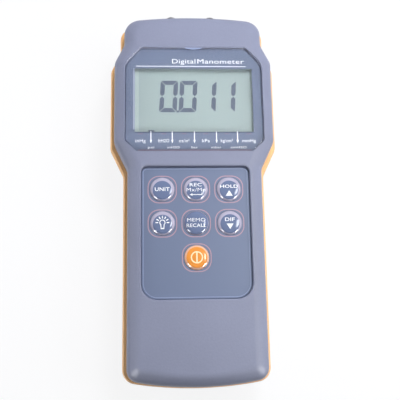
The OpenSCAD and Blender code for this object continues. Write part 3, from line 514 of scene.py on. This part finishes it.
def front_cover():
    bm = bmesh.new()
    shelf = JOINT_Z + STRIP_H / 2 + STRIP_GAP
    outside = [in_channel(JOINT_Z, SEAM), in_channel(JOINT_Z + SEAM), in_channel(shelf),
               (case_outline(STRIP_OUT, 0, STRIP_OUT_END + END_SET, 4, 5), shelf)]
    inside = [front_level(JOINT_Z, 0, WALL), front_level(25, 0, WALL),
              front_level(CEILING - 1.5, 0.22, WALL), front_level(CEILING, 0.36, WALL)]
    rim = stack(bm, outside + [border_level(*step) for step in BORDER], False)[0]
    fill(bm, rim, stack(bm, inside, False)[0])
    # Recesses of the lens and the keypad, then the window and the key holes
    recesses = bmesh.new()
    well(recesses, lambda g: lens_outline(0.1 + g), FACE_Z - LENS_SEAT, 0.2, 4, FACE_Z)
    well(recesses, lambda g: pad_outline(0.1 + g), FACE_Z - PAD_SEAT, 0.65, 5, FACE_Z)
    openings = bmesh.new()
    well(openings, lambda g: box_outline(WINDOW_W + 2, WINDOW_H + 2, 0, WINDOW_Y), 5, 0.1, 1, FACE_Z)
    for x, y in KEYS.values():
        stack(openings, [(circle_outline(KEY_R + 0.2, x, y), z) for z in (PAD_SEAT + 1, CEILING - 1)])
    mesh = carved(to_mesh(bm, "front_cover"), (recesses, "DIFFERENCE"), (openings, "DIFFERENCE"))
    settle(mesh, "front_cover", "case", CASE, ["front_shell"])
    # Pale crescent on top of the lens at its upper edge: painted highlight for the lit scoop of a fingernail
    # notch
    bm = bmesh.new()
    turns = [math.radians(-24 + 48 * k / 24) for k in range(25)]
    arc = [Vector((9.8 * math.sin(a), LENS_HIGH + 9.2 - 10.2 * math.cos(a))) for a in turns]
    stack(bm, [(arc, LENS_TOP + 0.01), (arc, LENS_TOP + 0.1)])
    settle(bm, "nail_notch_highlight", "case", PAINTED_HIGHLIGHT)


def rear_round():
    """Levels of the rounded back, from the resting face up."""
    return [rear_level(BACK_ROUND * (1 - math.cos(g)), 1 - math.sin(g)) for g in quarter(12)]


def rear_cover():
    bm = bmesh.new()
    shelf = JOINT_Z - STRIP_H / 2 - STRIP_GAP
    outside = rear_round() + [rear_level(shelf, 0), in_channel(shelf), in_channel(JOINT_Z - SEAM),
                              in_channel(JOINT_Z, SEAM)]
    inside = [rear_level(WALL, 0.62, WALL), rear_level(4.2, 0.25, WALL), rear_level(7, 0, WALL),
              rear_level(JOINT_Z, 0, WALL)]
    fill(bm, stack(bm, outside, True, False)[1], stack(bm, inside, True, False)[1])
    # Inside: floors over the door, the stand and its hinge, the battery box, and the screw posts
    root = WALL / 2
    posts = bmesh.new()
    block(posts, (-19.2, -79, root), (19.2, DOOR_HIGH + 2, 3.8))
    block(posts, (-21.2, -8, root), (21.2, 50, 4.9))
    block(posts, (-22.9, STAND_Y - 4.6, root), (22.9, STAND_Y + 4.6, 7.1))
    block(posts, (-BOX_W / 2 - 1.2, BOX_LOW - 1.2, root + 0.1), (BOX_W / 2 + 1.2, BOX_HIGH + 1.2, BOX_ROOF + 1))
    rod(posts, (0, TRIPOD_Y, root + 0.05), (0, TRIPOD_Y, TRIPOD_L + 1), TRIPOD_R + 2.4, 48)
    for x, y in CASE_SCREWS:
        rod(posts, (x, y, root), (x, y, JOINT_Z), 4)
    # Cutters: recesses, holes through them, bores across those and the seats of the ports
    wells, holes, bores, seats = (bmesh.new() for _ in range(4))
    middle = STAND_Y - 0.3 - STAND_L / 2
    well(wells, lambda g: box_outline(2 * (STAND_W / 2 + 0.3 + g), STAND_L + 2 * g, 0, middle, 1.2 + g),
         STAND_RECESS, 0.3)
    well(wells, lambda g: circle_outline(TRIPOD_R + g, 0, TRIPOD_Y), TRIPOD_L, 0.4)
    block(holes, (-19, STAND_Y - 2.4, -PAST), (19, STAND_Y + 2.4, 4.9))
    rod(bores, (-21.7, STAND_Y, HINGE_Z), (21.7, STAND_Y, HINGE_Z), 1)
    for x, y in CASE_SCREWS:
        well(wells, lambda g: circle_outline(SCREW_WELL_R + g, x, y, 40), SCREW_WELL, 0.35)
        rod(holes, (x, y, SCREW_WELL - 1), (x, y, JOINT_Z + PAST), SCREW_BORE_R, 30)
    for x in (-PORT_X, PORT_X):
        for tool, start, stop, r in ((holes, -6.6, 0.5, 3.1), (bores, -0.9, 0.6, 4.0), (seats, 0, 1.9, 4.72)):
            rod(tool, (x, PORT_Y + start, PORT_Z), (x, PORT_Y + stop, PORT_Z), r, 48)
    door, slot, box, way = (bmesh.new() for _ in range(4))
    well(door, lambda g: box_outline(DOOR_W + 0.4 + 2 * g, DOOR_L + 2 * g, 0, DOOR_HIGH + 0.2 - DOOR_L / 2,
                                     0.6 + g, 4), DOOR_T + 0.2, 0.3)
    block(slot, (-17.4, -90, 1.1), (17.4, DOOR_HIGH + 0.2, DOOR_T + 0.2))
    block(box, (-BOX_W / 2, BOX_LOW, -PAST), (BOX_W / 2, BOX_HIGH, BOX_ROOF))
    block(way, (-2.5, BOX_HIGH - 0.5, 10), (2.5, BOX_HIGH + 1.7, 15))
    # Cutters that overlap go one after the other, or a skin is left where they share a face
    mesh = carved(to_mesh(bm, "rear_cover"), (posts, "UNION"),
                  *[(tool, "DIFFERENCE") for tool in (wells, holes, bores, seats, door, slot, box, way)])
    settle(mesh, "rear_cover", "case", CASE, ["rear_shell"])


def battery_door():
    """Sliding door cut from the rounded back, with tongues, grip ribs and an arrow."""
    solid = bmesh.new()
    stack(solid, rear_round() + [rear_level(JOINT_Z, 0)])
    blank = bmesh.new()

    def edge(g):
        return box_outline(DOOR_W - 2 * g, DOOR_L - 2 * g, 0, DOOR_HIGH - DOOR_L / 2, 0.5, 4)
    stack(blank, [(edge(0.3), -PAST)]
          + [(edge(0.3 * (1 - math.sin(g))), 0.3 * (1 - math.cos(g))) for g in quarter(4)]
          + [(edge(0), DOOR_T)])
    block(blank, (-DOOR_W / 2 - TONGUE_W, -90, DOOR_T - TONGUE_T), (DOOR_W / 2 + TONGUE_W, DOOR_HIGH, DOOR_T))
    cuts = bmesh.new()
    for k in range(5):
        y = DOOR_HIGH - 11.5 + 2 * k
        well(cuts, lambda g: box_outline(16 + 2 * g, 1 + 2 * g, 0, y, 0.45 + g, 5), 0.6, 0.25, 3)
    tip = DOOR_HIGH - 19.5
    well(cuts, lambda g: rounded([(-3.2 - g, tip + 3.6 + g, 0.3, 3), (0, tip - g, 0.3, 3),
                                  (3.2 + g, tip + 3.6 + g, 0.3, 3)]), 0.4, 0.15, 3)
    mesh = carved(to_mesh(solid, "door"), (blank, "INTERSECT"), (cuts, "DIFFERENCE"))
    settle(mesh, "battery_cover", "battery_door", CASE, ["battery_door"])


def tilt_stand():
    """Plate with a finger notch, a sunk panel on each side and a round hinge edge."""
    def edge(grow):
        h, y0, y1 = STAND_W / 2 + grow, STAND_Y - STAND_L - grow, STAND_Y + min(grow, 0)
        r = 6 - grow
        lift = math.asin(-min(grow, 0) / r)
        arc = [(r * math.cos(a), STAND_Y - STAND_L + r * math.sin(a), 0, 0)
               for a in [lift + (math.pi - 2 * lift) * k / 24 for k in range(25)]]
        return rounded([(h, y0, 1.2, 5), (h, y1, 0, 0), (-h, y1, 0, 0), (-h, y0, 1.2, 5)] + arc[::-1])
    rise = STAND_ROUND
    bm = bmesh.new()
    bottom, top = stack(
        bm, [(edge(-rise * (1 - math.sin(g))), STAND_LOW + rise * (1 - math.cos(g))) for g in quarter(4)]
        + [(edge(-rise * (1 - math.cos(g))), STAND_TOP - rise + rise * math.sin(g)) for g in quarter(4)],
        False, False)
    for ring, z, way in ((bottom, STAND_LOW, 1), (top, STAND_TOP, -1)):
        rim = lay(bm, box_outline(26, 36, 0, 25, 2.5), z)
        fill(bm, ring, rim)
        fill(bm, climb(bm, rim, box_outline(25.4, 35.4, 0, 25, 2.2), z + way * 0.45))
    barrel, bore = bmesh.new(), bmesh.new()
    rod(barrel, (-STAND_W / 2, STAND_Y, HINGE_Z), (STAND_W / 2, STAND_Y, HINGE_Z), HINGE_R, 48)
    rod(bore, (-STAND_W / 2 - PAST, STAND_Y, HINGE_Z), (STAND_W / 2 + PAST, STAND_Y, HINGE_Z), 1.05)
    mesh = carved(to_mesh(bm, "stand"), (barrel, "UNION"), (bore, "DIFFERENCE"))
    settle(mesh, "stand_plate", "tilt_stand", CASE, ["tilt_stand"])


def side_strip():
    """Convex strip round the grip, head and neck, in the channel of both shells."""
    def path(side, low):
        points = case_outline(side, 0, low, 4, max(5 + STRIP_OUT_END - side, 2))
        half = [p for p in points[:len(points) // 2] if p.y < STRIP_STOP]
        half.append(Vector((half[-1].x, STRIP_STOP)))
        return [Vector((-p.x, p.y)) for p in reversed(half)] + half[1:]
    bm = bmesh.new()
    inside = path(STRIP_OUT + 0.9, STRIP_OUT_END + 0.9)
    levels = [(inside, JOINT_Z - STRIP_H / 2)]
    bulge = math.radians(60)
    for k in range(-7, 8):
        g = bulge * k / 7
        levels.append((path(1.6 * (1 - math.cos(g)), 1.1 * (1 - math.cos(g))),
                       JOINT_Z + STRIP_H / 2 * math.sin(g) / math.sin(bulge)))
    levels.append((inside, JOINT_Z + STRIP_H / 2))
    line = [bm.verts.new((p.x, p.y, levels[0][1])) for p in inside]
    for pair in zip(line, line[1:]):
        bm.edges.new(pair)
    ends = [[line[0]], [line[-1]]]
    for points, z in levels[1:] + levels[:1]:
        line = climb(bm, line, points, z, closed=False)
        ends[0].append(line[0])
        ends[1].append(line[-1])
    for end in ends:
        bm.faces.new(end[:-1])
    settle(bm, "side_strip", "case", STRIP, ["side_band"])


# Display.
DIGIT_LOW, DIGIT_H, DIGIT_W, STROKE, SLANT = 30.1, 14.1, 7.4, 1.85, 0.06
DIGIT_TIP, DIGIT_BEND, DIGIT_GAP = 0.7, 0.35, 0.09
SEGMENTS = {"0": "abcdef", "1": "bc"}
SEGMENT_Z = LCD_TOP + 0.1


def digit(bm, glyph, x):
    """Seven-segment glyph whose lower left corner is at x."""
    w, h, s = DIGIT_W, DIGIT_H, STROKE
    tip, bend, e = DIGIT_TIP, DIGIT_BEND, DIGIT_GAP
    top = [(tip, h), (w - tip, h), (w - bend - e, h - bend + e), (w - s - 2 * e, h - s), (s + 2 * e, h - s),
           (bend + e, h - bend + e)]
    upper = [(w, h - tip), (w - bend + e, h - bend - e), (w - s, h - s - 2 * e), (w - s, h / 2 + s / 2 + e),
             (w - s / 2, h / 2 + e), (w, h / 2 + s / 2 + e)]
    shapes = {"a": top, "b": upper, "c": [(p, h - q) for p, q in upper], "d": [(p, h - q) for p, q in top],
              "e": [(w - p, h - q) for p, q in upper], "f": [(w - p, q) for p, q in upper]}
    for name in SEGMENTS[glyph]:
        plate(bm, [(x + p + SLANT * q, DIGIT_LOW + q) for p, q in shapes[name]], SEGMENT_Z)


def display():
    bm = bmesh.new()
    stack(bm, [(lens_outline(), LENS_UNDER), (lens_outline(), LENS_TOP - 0.3),
               (lens_outline(-0.1), LENS_TOP - 0.09), (lens_outline(-0.3), LENS_TOP)])
    settle(bm, "lens", "case", LENS, ["display_lens"], angle=50)
    bm = bmesh.new()
    frame_line(bm, lens_outline(-0.2), box_outline(WINDOW_W, WINDOW_H, 0, WINDOW_Y, 0.1), LENS_SEAT,
               MASK_TOP - LENS_SEAT)
    settle(bm, "window_mask", "case", MASK, ["lens_mask"])
    bm = bmesh.new()
    side, top = box_outline(LCD_W, LCD_H, 0, WINDOW_Y), box_outline(LCD_W - 0.4, LCD_H - 0.4, 0, WINDOW_Y)
    stack(bm, [(side, LCD_LOW), (side, LCD_TOP - 0.2), (top, LCD_TOP)])
    settle(bm, "lcd", "case", LCD_GLASS, ["lcd_panel"])
    bm = bmesh.new()
    plate(bm, box_outline(48.6, 31, 1.1, WINDOW_Y), LCD_TOP, SEGMENT_Z - LCD_TOP)
    settle(bm, "lcd_film", "case", LCD_FILM)
    # Reading 0.011 and the pointer to the chosen unit
    bm = bmesh.new()
    for glyph, x in zip("0011", (-14.75, -6.5, 1.7, 9.95)):
        digit(bm, glyph, x)
    plate(bm, box_outline(1.1, 0.9, -6.8, DIGIT_LOW + 0.3), SEGMENT_Z)
    plate(bm, [(-18.6, 20.7), (-17.4, 20.7), (-16.5, 22.2), (-19.5, 22.2)], SEGMENT_Z)
    settle(bm, "lcd_reading", "case", SEGMENT)


# Words under the lens: text, full width, x of the middle.
TITLE = [("Digital", 9.9, -4.1), ("Manometer", 19.9, 11.65)]
UNITS = [("inHg", 4.2, -22.4), ("ftH2O", 4.6, -12.85), ("oz/in²", 4.3, -4.35), ("kPa", 3.2, 4.65),
         ("kg/cm²", 5.1, 13.4), ("mmHg", 5.7, 22.7)]
SMALL_UNITS = [("psi", 2.5, -18.1), ("inH2O", 5.0, -8.8), ("bar", 2.6, -0.1), ("mbar", 4.1, 8.9),
               ("cmH2O", 6.6, 18.2)]
DIVIDERS = [-18.15, -9.3, -0.1, 9.1, 17.9]


def window_print():
    """White words and marks on the underside of the lens, with a painted highlight left of the window and
    painted shade along its lower edge and round the lens.
    """
    z, half = MASK_TOP, WINDOW_W / 2
    low, high = WINDOW_Y - WINDOW_H / 2, WINDOW_Y + WINDOW_H / 2
    bm = bmesh.new()
    for row, capital, y in ((TITLE, 2.0, 52.15), (UNITS, 1.4, 16.9), (SMALL_UNITS, 0.9, 14.05)):
        for text, span, x in row:
            words(bm, text, capital, span, x, y, z, 0.0)
    stroke(bm, (-24.3, 49.85), (22.3, 49.85), 0.26, z)
    for x in DIVIDERS:
        stroke(bm, (x, 20.9), (x, 17.2), 0.42, z)
        plate(bm, [(x, 15.7), (x + 0.48, 17.2), (x - 0.48, 17.2)], z)
    settle(bm, "window_words", "case", WHITE_PRINT, angle=20)
    # Pale line left of the window: painted highlight where light falls on the window's left wall
    bm = bmesh.new()
    stroke(bm, (-half - 0.4, low + 1), (-half - 0.4, high), 0.6, z)
    settle(bm, "window_painted_light", "case", WINDOW_LIGHT, angle=20)
    bm = bmesh.new()
    for text, span, x in UNITS:
        stroke(bm, (x - 0.9, 19.9), (x + 0.9, 19.9), 0.4, z)
    stroke(bm, (-23.4, LENS_LOW + 0.75), (23.4, LENS_LOW + 0.75), 0.3, z)
    settle(bm, "window_warm_marks", "case", WARM_PRINT, angle=20)
    # Dark line along the window's lower edge and round the lens's rim: painted shade of the edge and of the gap
    # round the lens
    bm = bmesh.new()
    stroke(bm, (-half, low - 0.2), (half, low - 0.2), 0.4, z)
    frame_line(bm, lens_outline(-0.2), lens_outline(-0.6), z)
    settle(bm, "window_edge_shade", "case", EDGE_SHADE, angle=20)


# Keypad.
DOME = [(0.0, 1.3), (1.2, 1.29), (2.4, 1.25), (3.3, 1.18), (3.75, 1.1), (4.1, 0.98), (4.45, 0.78), (4.72, 0.55),
        (4.9, 0.3), (5.0, 0.1), (5.05, -0.2)]


def dome(r):
    """Height of a key over the panel at radius r."""
    for (r0, z0), (r1, z1) in zip(DOME, DOME[1:]):
        if r <= r1:
            return z0 + (z1 - z0) * (r - r0) / (r1 - r0)
    return DOME[-1][1]


def dome_print(bm, x, y, reach, lift):
    """Thin printed cap that follows a key out to a radius."""
    radii = [r for r, z in DOME if r < reach - 0.05] + [reach]
    upper = [(r, PAD_TOP + dome(r) + lift) for r in radii]
    lower = [(r, z - lift * 1.5) for r, z in upper]
    turned(bm, upper + lower[::-1], x, y)


def on_dome(bm, made, x, y, lift):
    """Lays a flat legend, made round the origin at z 0, on a key, cut fine enough to bend with it."""
    for k in range(-10, 11):
        for way in ((1, 0, 0), (0, 1, 0)):
            bmesh.ops.bisect_plane(made, geom=made.verts[:] + made.edges[:] + made.faces[:], dist=0.0001,
                                   plane_co=Vector(way) * k * 0.45, plane_no=way)
    for v in made.verts:
        v.co.z += PAD_TOP + dome(math.hypot(v.co.x, v.co.y)) + lift
        v.co.x += x
        v.co.y += y
    mesh = bpy.data.meshes.new("legend")
    made.to_mesh(mesh)
    made.free()
    bm.from_mesh(mesh)
    bpy.data.meshes.remove(mesh)


def lamp_sign(bm):
    """Outline of a bulb with its cap and rays."""
    turns = [math.radians(-50 + 280 * k / 20) for k in range(21)]
    middle = Vector((0, 0.1))
    bulb = [middle + Vector((math.cos(a), math.sin(a))) * 1.05 for a in turns]
    for a, b in list(zip(bulb, bulb[1:])) + [(bulb[0], (0.55, -2.2)), (bulb[-1], (-0.55, -2.2))]:
        stroke(bm, a, b, 0.34, 0)
    stroke(bm, (-0.75, -2.3), (0.75, -2.3), 0.5, 0)
    for degrees in range(0, 181, 30):
        ray = Vector((math.cos(math.radians(degrees)), math.sin(math.radians(degrees))))
        stroke(bm, middle + ray * 1.7, middle + ray * 2.75, 0.4, 0)


# Words on the keys: text, height of the capitals, full width, x, y, boldness.
KEY_WORDS = {"unit": [("UNIT", 1.45, 6.0, 0, -0.15, 0.015)],
             "record": [("REC", 1.35, 4.9, 0, 1.65, 0.01), ("Mx/Mn", 1.45, 7.7, 0.1, -0.4, -0.01)],
             "hold": [("HOLD", 1.3, 7.2, 0, 0.95, 0.015)],
             "memo": [("MEMO", 1.4, 7.3, 0, 1.15, -0.01), ("RECALL", 1.35, 7.9, 0, -1.1, 0.01)],
             "diff": [("DIF", 1.4, 4.0, 0, 1.25, 0.015)]}


def legend(name):
    """Words and sign of one key, flat round the origin."""
    bm = bmesh.new()
    for text, capital, span, x, y, bold in KEY_WORDS.get(name, []):
        words(bm, text, capital, span, x, y, 0, bold)
    if name == "record":
        stroke(bm, (-1.6, -2.45), (2.6, -2.45), 0.28, 0)
        stroke(bm, (2.5, -2.45), (2.5, -1.7), 0.28, 0)
        plate(bm, [(-2.55, -2.45), (-1.4, -2.95), (-1.4, -1.95)], 0)
    elif name == "hold":
        plate(bm, [(-1.4, -3.0), (1.4, -3.0), (0, -0.75)], 0)
    elif name == "diff":
        plate(bm, [(-1.4, -0.5), (0, -2.75), (1.4, -0.5)], 0)
    elif name == "light":
        lamp_sign(bm)
    elif name == "power":
        frame_line(bm, circle_outline(2.45, steps=48), circle_outline(1.95, steps=48), 0)
        stroke(bm, (0, -2.0), (0, 2.0), 0.6, 0)
    return bm


def key(name, x, y):
    """Domed cap with its foot, the print on it, which also paints shade on the cap, and its legend."""
    power, body = name == "power", name + "_key"
    cap = bmesh.new()
    foot = [(KEY_R, CEILING - 0.1), (KEY_R + 0.9, CEILING - 0.1), (KEY_R + 0.9, CEILING - 1.1),
            (2.4, CEILING - 1.1), (2.4, CEILING - 2.0), (0, CEILING - 2.0)]
    turned(cap, [(r, PAD_TOP + z) for r, z in DOME] + foot, x, y)
    settle(cap, name + "_cap", body, POWER_RIM_AND_LIGHT if power else KEY_FILM_AND_LIGHT, [body], angle=40)
    disc = bmesh.new()
    # The dark print sits 0.5 mm low on most keys so it covers the cap's lower slope: painted shade. On the memo
    # key it reaches almost to the foot: painted shade in place of a flatter cap.
    if name in ("power", "memo"):
        dome_print(disc, x, y, 4.2 if power else 4.75, 0.03)
    else:
        flat = bmesh.new()
        plate(flat, circle_outline(3.85, 0, -0.5), 0)
        on_dome(disc, flat, x, y, 0.03)
    settle(disc, name + "_disc", body, POWER_FILM if power else KEY_PRINT_AND_SHADE, angle=50)
    marks = bmesh.new()
    on_dome(marks, legend(name), x, y, 0.055)
    settle(marks, name + "_legend", body, PALE_PRINT if power else WHITE_PRINT, angle=20)


def keypad():
    """Film with its key holes and edge, the lines printed round the keys, and the keys."""
    bm = bmesh.new()
    outer = lay(bm, pad_outline(-0.35), PAD_TOP)
    circles = [circle_outline(KEY_R + 0.05, x, y) for x, y in KEYS.values()]
    holes = [lay(bm, circle, PAD_TOP) for circle in circles]
    fill(bm, outer, *holes)
    outer = climb(bm, climb(bm, outer, pad_outline(-0.15), PAD_TOP - 0.06), pad_outline(), PAD_TOP - 0.25)
    low = climb(bm, outer, pad_outline(), PAD_SEAT)
    fill(bm, low, *[climb(bm, hole, circle, PAD_SEAT) for hole, circle in zip(holes, circles)])
    settle(bm, "keypad_film", "case", PAD_FILM, ["keypad_panel"])
    # Pale line just inside the film's edge: painted highlight where the film's edge catches light
    bm = bmesh.new()
    frame_line(bm, pad_outline(-0.65), pad_outline(-0.9), PAD_TOP)
    settle(bm, "keypad_edge_highlight", "case", PAINTED_HIGHLIGHT, angle=20)
    lines = bmesh.new()
    for name, (x, y) in KEYS.items():
        frame_line(lines, box_outline(11.9, 11.5, x, y, 4.6), box_outline(11.1, 10.7, x, y, 4.2), PAD_TOP)
        key(name, x, y)
    settle(lines, "key_lines", "case", KEY_LINE, angle=20)


# Fittings at the pressure end.
def barb(start):
    """Profile (r, z) of one ridge of the hose barb."""
    return [(2.0, start + 0.95), (2.1, start + 1), (2.45, start + 1), (2.5, start + 1.05)]


# Barbs of a spigot that is 8 long, before it is stretched to the port's length.
SPIGOT = ([(2.0, 0)] + barb(0) + [(2.5, 2.9), (2.45, 3.05)] + barb(3) + [(2.5, 5.9), (2.45, 6.05)] + barb(6)
          + [(2.5, 7.4), (2.4, 7.6), (2.0, 7.95), (1.85, 8), (1.25, 8), (1.1, 7.85)])


def port_fitting(x, name):
    """Hexagon with a hose barb outside, and inside the tail for its nut and tube."""
    stretch = (PORT_L - HEX_T) / 8
    bm = bmesh.new()
    stack(bm, [(circle_outline(HEX_FLATS / math.sqrt(3) * share, steps=6), z)
               for share, z in ((0.94, 0), (1, 0.25), (1, HEX_T - 0.25), (0.94, HEX_T))])
    tail = [(1.1, -12.6), (1.9, -12.6), (1.9, -7.6), (3.0, -7.6), (3.0, 0.7)]
    turned(bm, tail + [(r, HEX_T + stretch * z) for r, z in SPIGOT] + tail[:1], steps=48)
    mesh = to_mesh(bm, name)
    mesh.transform(Matrix.Translation((x, PORT_Y, PORT_Z)) @ Matrix.Rotation(-math.pi / 2, 4, "X"))
    settle(mesh, name + "_fitting", "case", NICKEL, [name])


# Back: screws, tripod insert and the battery.
def case_screws():
    """Screws with domed heads and a cross recess, deep in their wells."""
    heads = bmesh.new()
    for x, y in CASE_SCREWS:
        turned(heads, [(0, 3.0), (1.6, 3.03), (2.3, 3.25), (2.62, 3.65), (2.7, 4.1), (2.7, SCREW_WELL),
                       (1.4, SCREW_WELL), (1.4, 26.4), (0, 26.4)], x, y, 40)
    cross = bmesh.new()
    for x, y in CASE_SCREWS:
        for turn in (0, math.pi / 2):
            verts = block(cross, (-1.5, -0.3, 2.5), (1.5, 0.3, 3.9))
            deep = [v for v in verts if v.co.z > 3]
            bmesh.ops.scale(cross, vec=(0.45, 0.6, 1), verts=deep)
            bmesh.ops.rotate(cross, cent=(0, 0, 0), matrix=Matrix.Rotation(turn, 3, "Z"), verts=verts)
            bmesh.ops.translate(cross, vec=(x, y, 0), verts=verts)
    mesh = carved(to_mesh(heads, "screws"), (cross, "DIFFERENCE"))
    settle(mesh, "cross_screws", "case", STEEL, ["case_screws"])


def tripod_thread():
    """Brass insert with the ridges of a quarter-inch thread."""
    pitch, crest, root, low, high = 1.27, 2.55, 3.1, 0.9, 7.4
    ridges = []
    for k in range(math.ceil((high - low) / pitch)):
        ridges += [(crest, low + pitch * k), (root, low + pitch * k + 0.6)]
    bm = bmesh.new()
    turned(bm, [(0, TRIPOD_L), (TRIPOD_R, TRIPOD_L), (TRIPOD_R, 0.45), (TRIPOD_R - 0.25, 0.2), (3.35, 0.2),
                (3.15, 0.4)] + ridges + [(crest, high + 0.2), (0, high + 0.4)], 0, TRIPOD_Y, 48)
    settle(bm, "tripod_socket", "case", BRASS, ["tripod_insert"])


def nine_volt_cell():
    """Block battery with its two studs, and generic marks on its jacket."""
    def edge(g):
        return box_outline(CELL_W - 2 * g, CELL_T - 2 * g, 0, 0, 2.4 - g)
    r, length = CELL_EDGE, 46.1
    place = Matrix.Translation((0, CELL_LOW, CELL_Z)) @ Matrix.Rotation(-math.pi / 2, 4, "X")
    bm = bmesh.new()
    stack(bm, [(edge(r * (1 - math.sin(g))), r * (1 - math.cos(g))) for g in quarter(4)]
          + [(edge(r * (1 - math.cos(g))), length - r + r * math.sin(g)) for g in quarter(4)])
    mesh = to_mesh(bm, "cell")
    mesh.transform(place)
    settle(mesh, "cell_jacket", "case", JACKET, ["battery"])
    bm = bmesh.new()
    stud = 6.35
    turned(bm, [(0, 46.0), (2.9, 46.0), (2.9, 46.4), (2.2, 46.6), (2.2, 47.4), (2.6, 47.7), (2.6, 48.2),
                (2.3, 48.4), (0, 48.4)], -stud, 0, 40)
    stack(bm, [(circle_outline(r, stud, steps=6), z)
               for r, z in ((3.5, 46.0), (3.5, 46.5), (3.1, 46.8), (3.6, 48.4), (2.7, 48.4), (2.5, 46.9))])
    mesh = to_mesh(bm, "studs")
    mesh.transform(place)
    settle(mesh, "cell_studs", "case", STEEL)
    bm = bmesh.new()
    below = Matrix.Translation((0, 0, CELL_Z - CELL_T / 2)) @ Matrix.Rotation(math.pi, 4, "Y")
    for text, capital, span, x, y in (("9V", 5.8, 12, 0, -56), ("+", 4, 3.4, 6.5, -34),
                                      ("-", 4, 1.6, -6.5, -34)):
        words(bm, text, capital, span, x, y, 0, 0.0, 0.04, below)
    settle(bm, "cell_marks", "case", WHITE_PRINT, angle=20)


# Making, then the finishes of the solids that are kept.
place_camera()
front_cover()
rear_cover()
side_strip()
display()
window_print()
keypad()
battery_door()
tilt_stand()
port_fitting(-PORT_X, "high_port")
port_fitting(PORT_X, "low_port")
case_screws()
tripod_thread()
nine_volt_cell()
for node, material in INSIDE.items():
    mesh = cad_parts[node].data
    mesh.materials.clear()
    mesh.materials.append(material)


# Stage and light.
GLOW_SHARE, SKY_STRENGTH = 0.85, 0.18


def stage():
    """White floor that takes shadows, and glows in what the camera, reflections and glass see of it."""
    bpy.ops.mesh.primitive_plane_add(size=4.0)
    floor = bpy.context.object
    floor.name = "floor"
    material = bpy.data.materials.new("white_paper")
    material.use_nodes = True
    tree = material.node_tree
    shader = tree.nodes["Principled BSDF"]
    shader.inputs["Base Color"].default_value = (0.9, 0.92, 1.0, 1.0)
    shader.inputs["Roughness"].default_value = 0.9
    glow, mix = tree.nodes.new("ShaderNodeEmission"), tree.nodes.new("ShaderNodeMixShader")
    path = tree.nodes.new("ShaderNodeLightPath").outputs
    seen = calculate(tree, "MAXIMUM", path["Is Camera Ray"], path["Is Glossy Ray"])
    seen = calculate(tree, "MAXIMUM", seen, path["Is Transmission Ray"])
    tree.links.new(calculate(tree, "MULTIPLY", seen, GLOW_SHARE), mix.inputs[0])
    tree.links.new(shader.outputs[0], mix.inputs[1])
    tree.links.new(glow.outputs[0], mix.inputs[2])
    tree.links.new(mix.outputs[0], tree.nodes["Material Output"].inputs["Surface"])
    floor.data.materials.append(material)
    world = bpy.context.scene.world or bpy.data.worlds.new("studio")
    bpy.context.scene.world = world
    world.use_nodes = True
    sky = world.node_tree.nodes["Background"]
    sky.inputs["Color"].default_value = (0.95, 0.97, 1.0, 1.0)
    sky.inputs["Strength"].default_value = SKY_STRENGTH


def lamp(name, at, aim, size, power, diffuse=True, glossy=True):
    """A round lamp of so many watts; it may light surfaces, show in reflections, or both."""
    light = bpy.data.lights.new(name, "AREA")
    light.shape, light.size, light.energy = "DISK", size, power
    obj = bpy.data.objects.new(name, light)
    obj.location = at
    obj.rotation_euler = (Vector(aim) - Vector(at)).to_track_quat("-Z", "Y").to_euler()
    obj.visible_diffuse, obj.visible_glossy, obj.visible_transmission = diffuse, glossy, glossy
    bpy.context.collection.objects.link(obj)


stage()
lamp("key_lamp", (0.09, 0.20, 0.36), (0, 0, 0.02), 0.12, 0.85, glossy=False)
lamp("top_lamp", (0.0, 0.30, 0.22), (0, 0, 0.02), 0.12, 0.13, glossy=False)
lamp("right_lamp", (0.20, -0.05, 0.20), (0, 0, 0.02), 0.16, 0.275, glossy=False)
lamp("high_lamp", (0.13, 0.06, 0.24), (0, 0, 0.02), 0.16, 0.235, glossy=False)
lamp("left_lamp", (-0.32, 0.04, 0.13), (0, 0, 0.02), 0.14, 0.36, glossy=False)
lamp("left_glint", (-0.28, -0.27, 0.24), (0, 0, 0.03), 0.18, 1.6, diffuse=False)
lamp("right_glint", (0.30, -0.25, 0.24), (0, 0, 0.03), 0.18, 2.0, diffuse=False)
lamp("window_sheen", (0.42, 0.12, 1.0), (0, 0, 0.03), 0.3, 2.4, diffuse=False)
bpy.context.scene.view_settings.view_transform = "Standard"
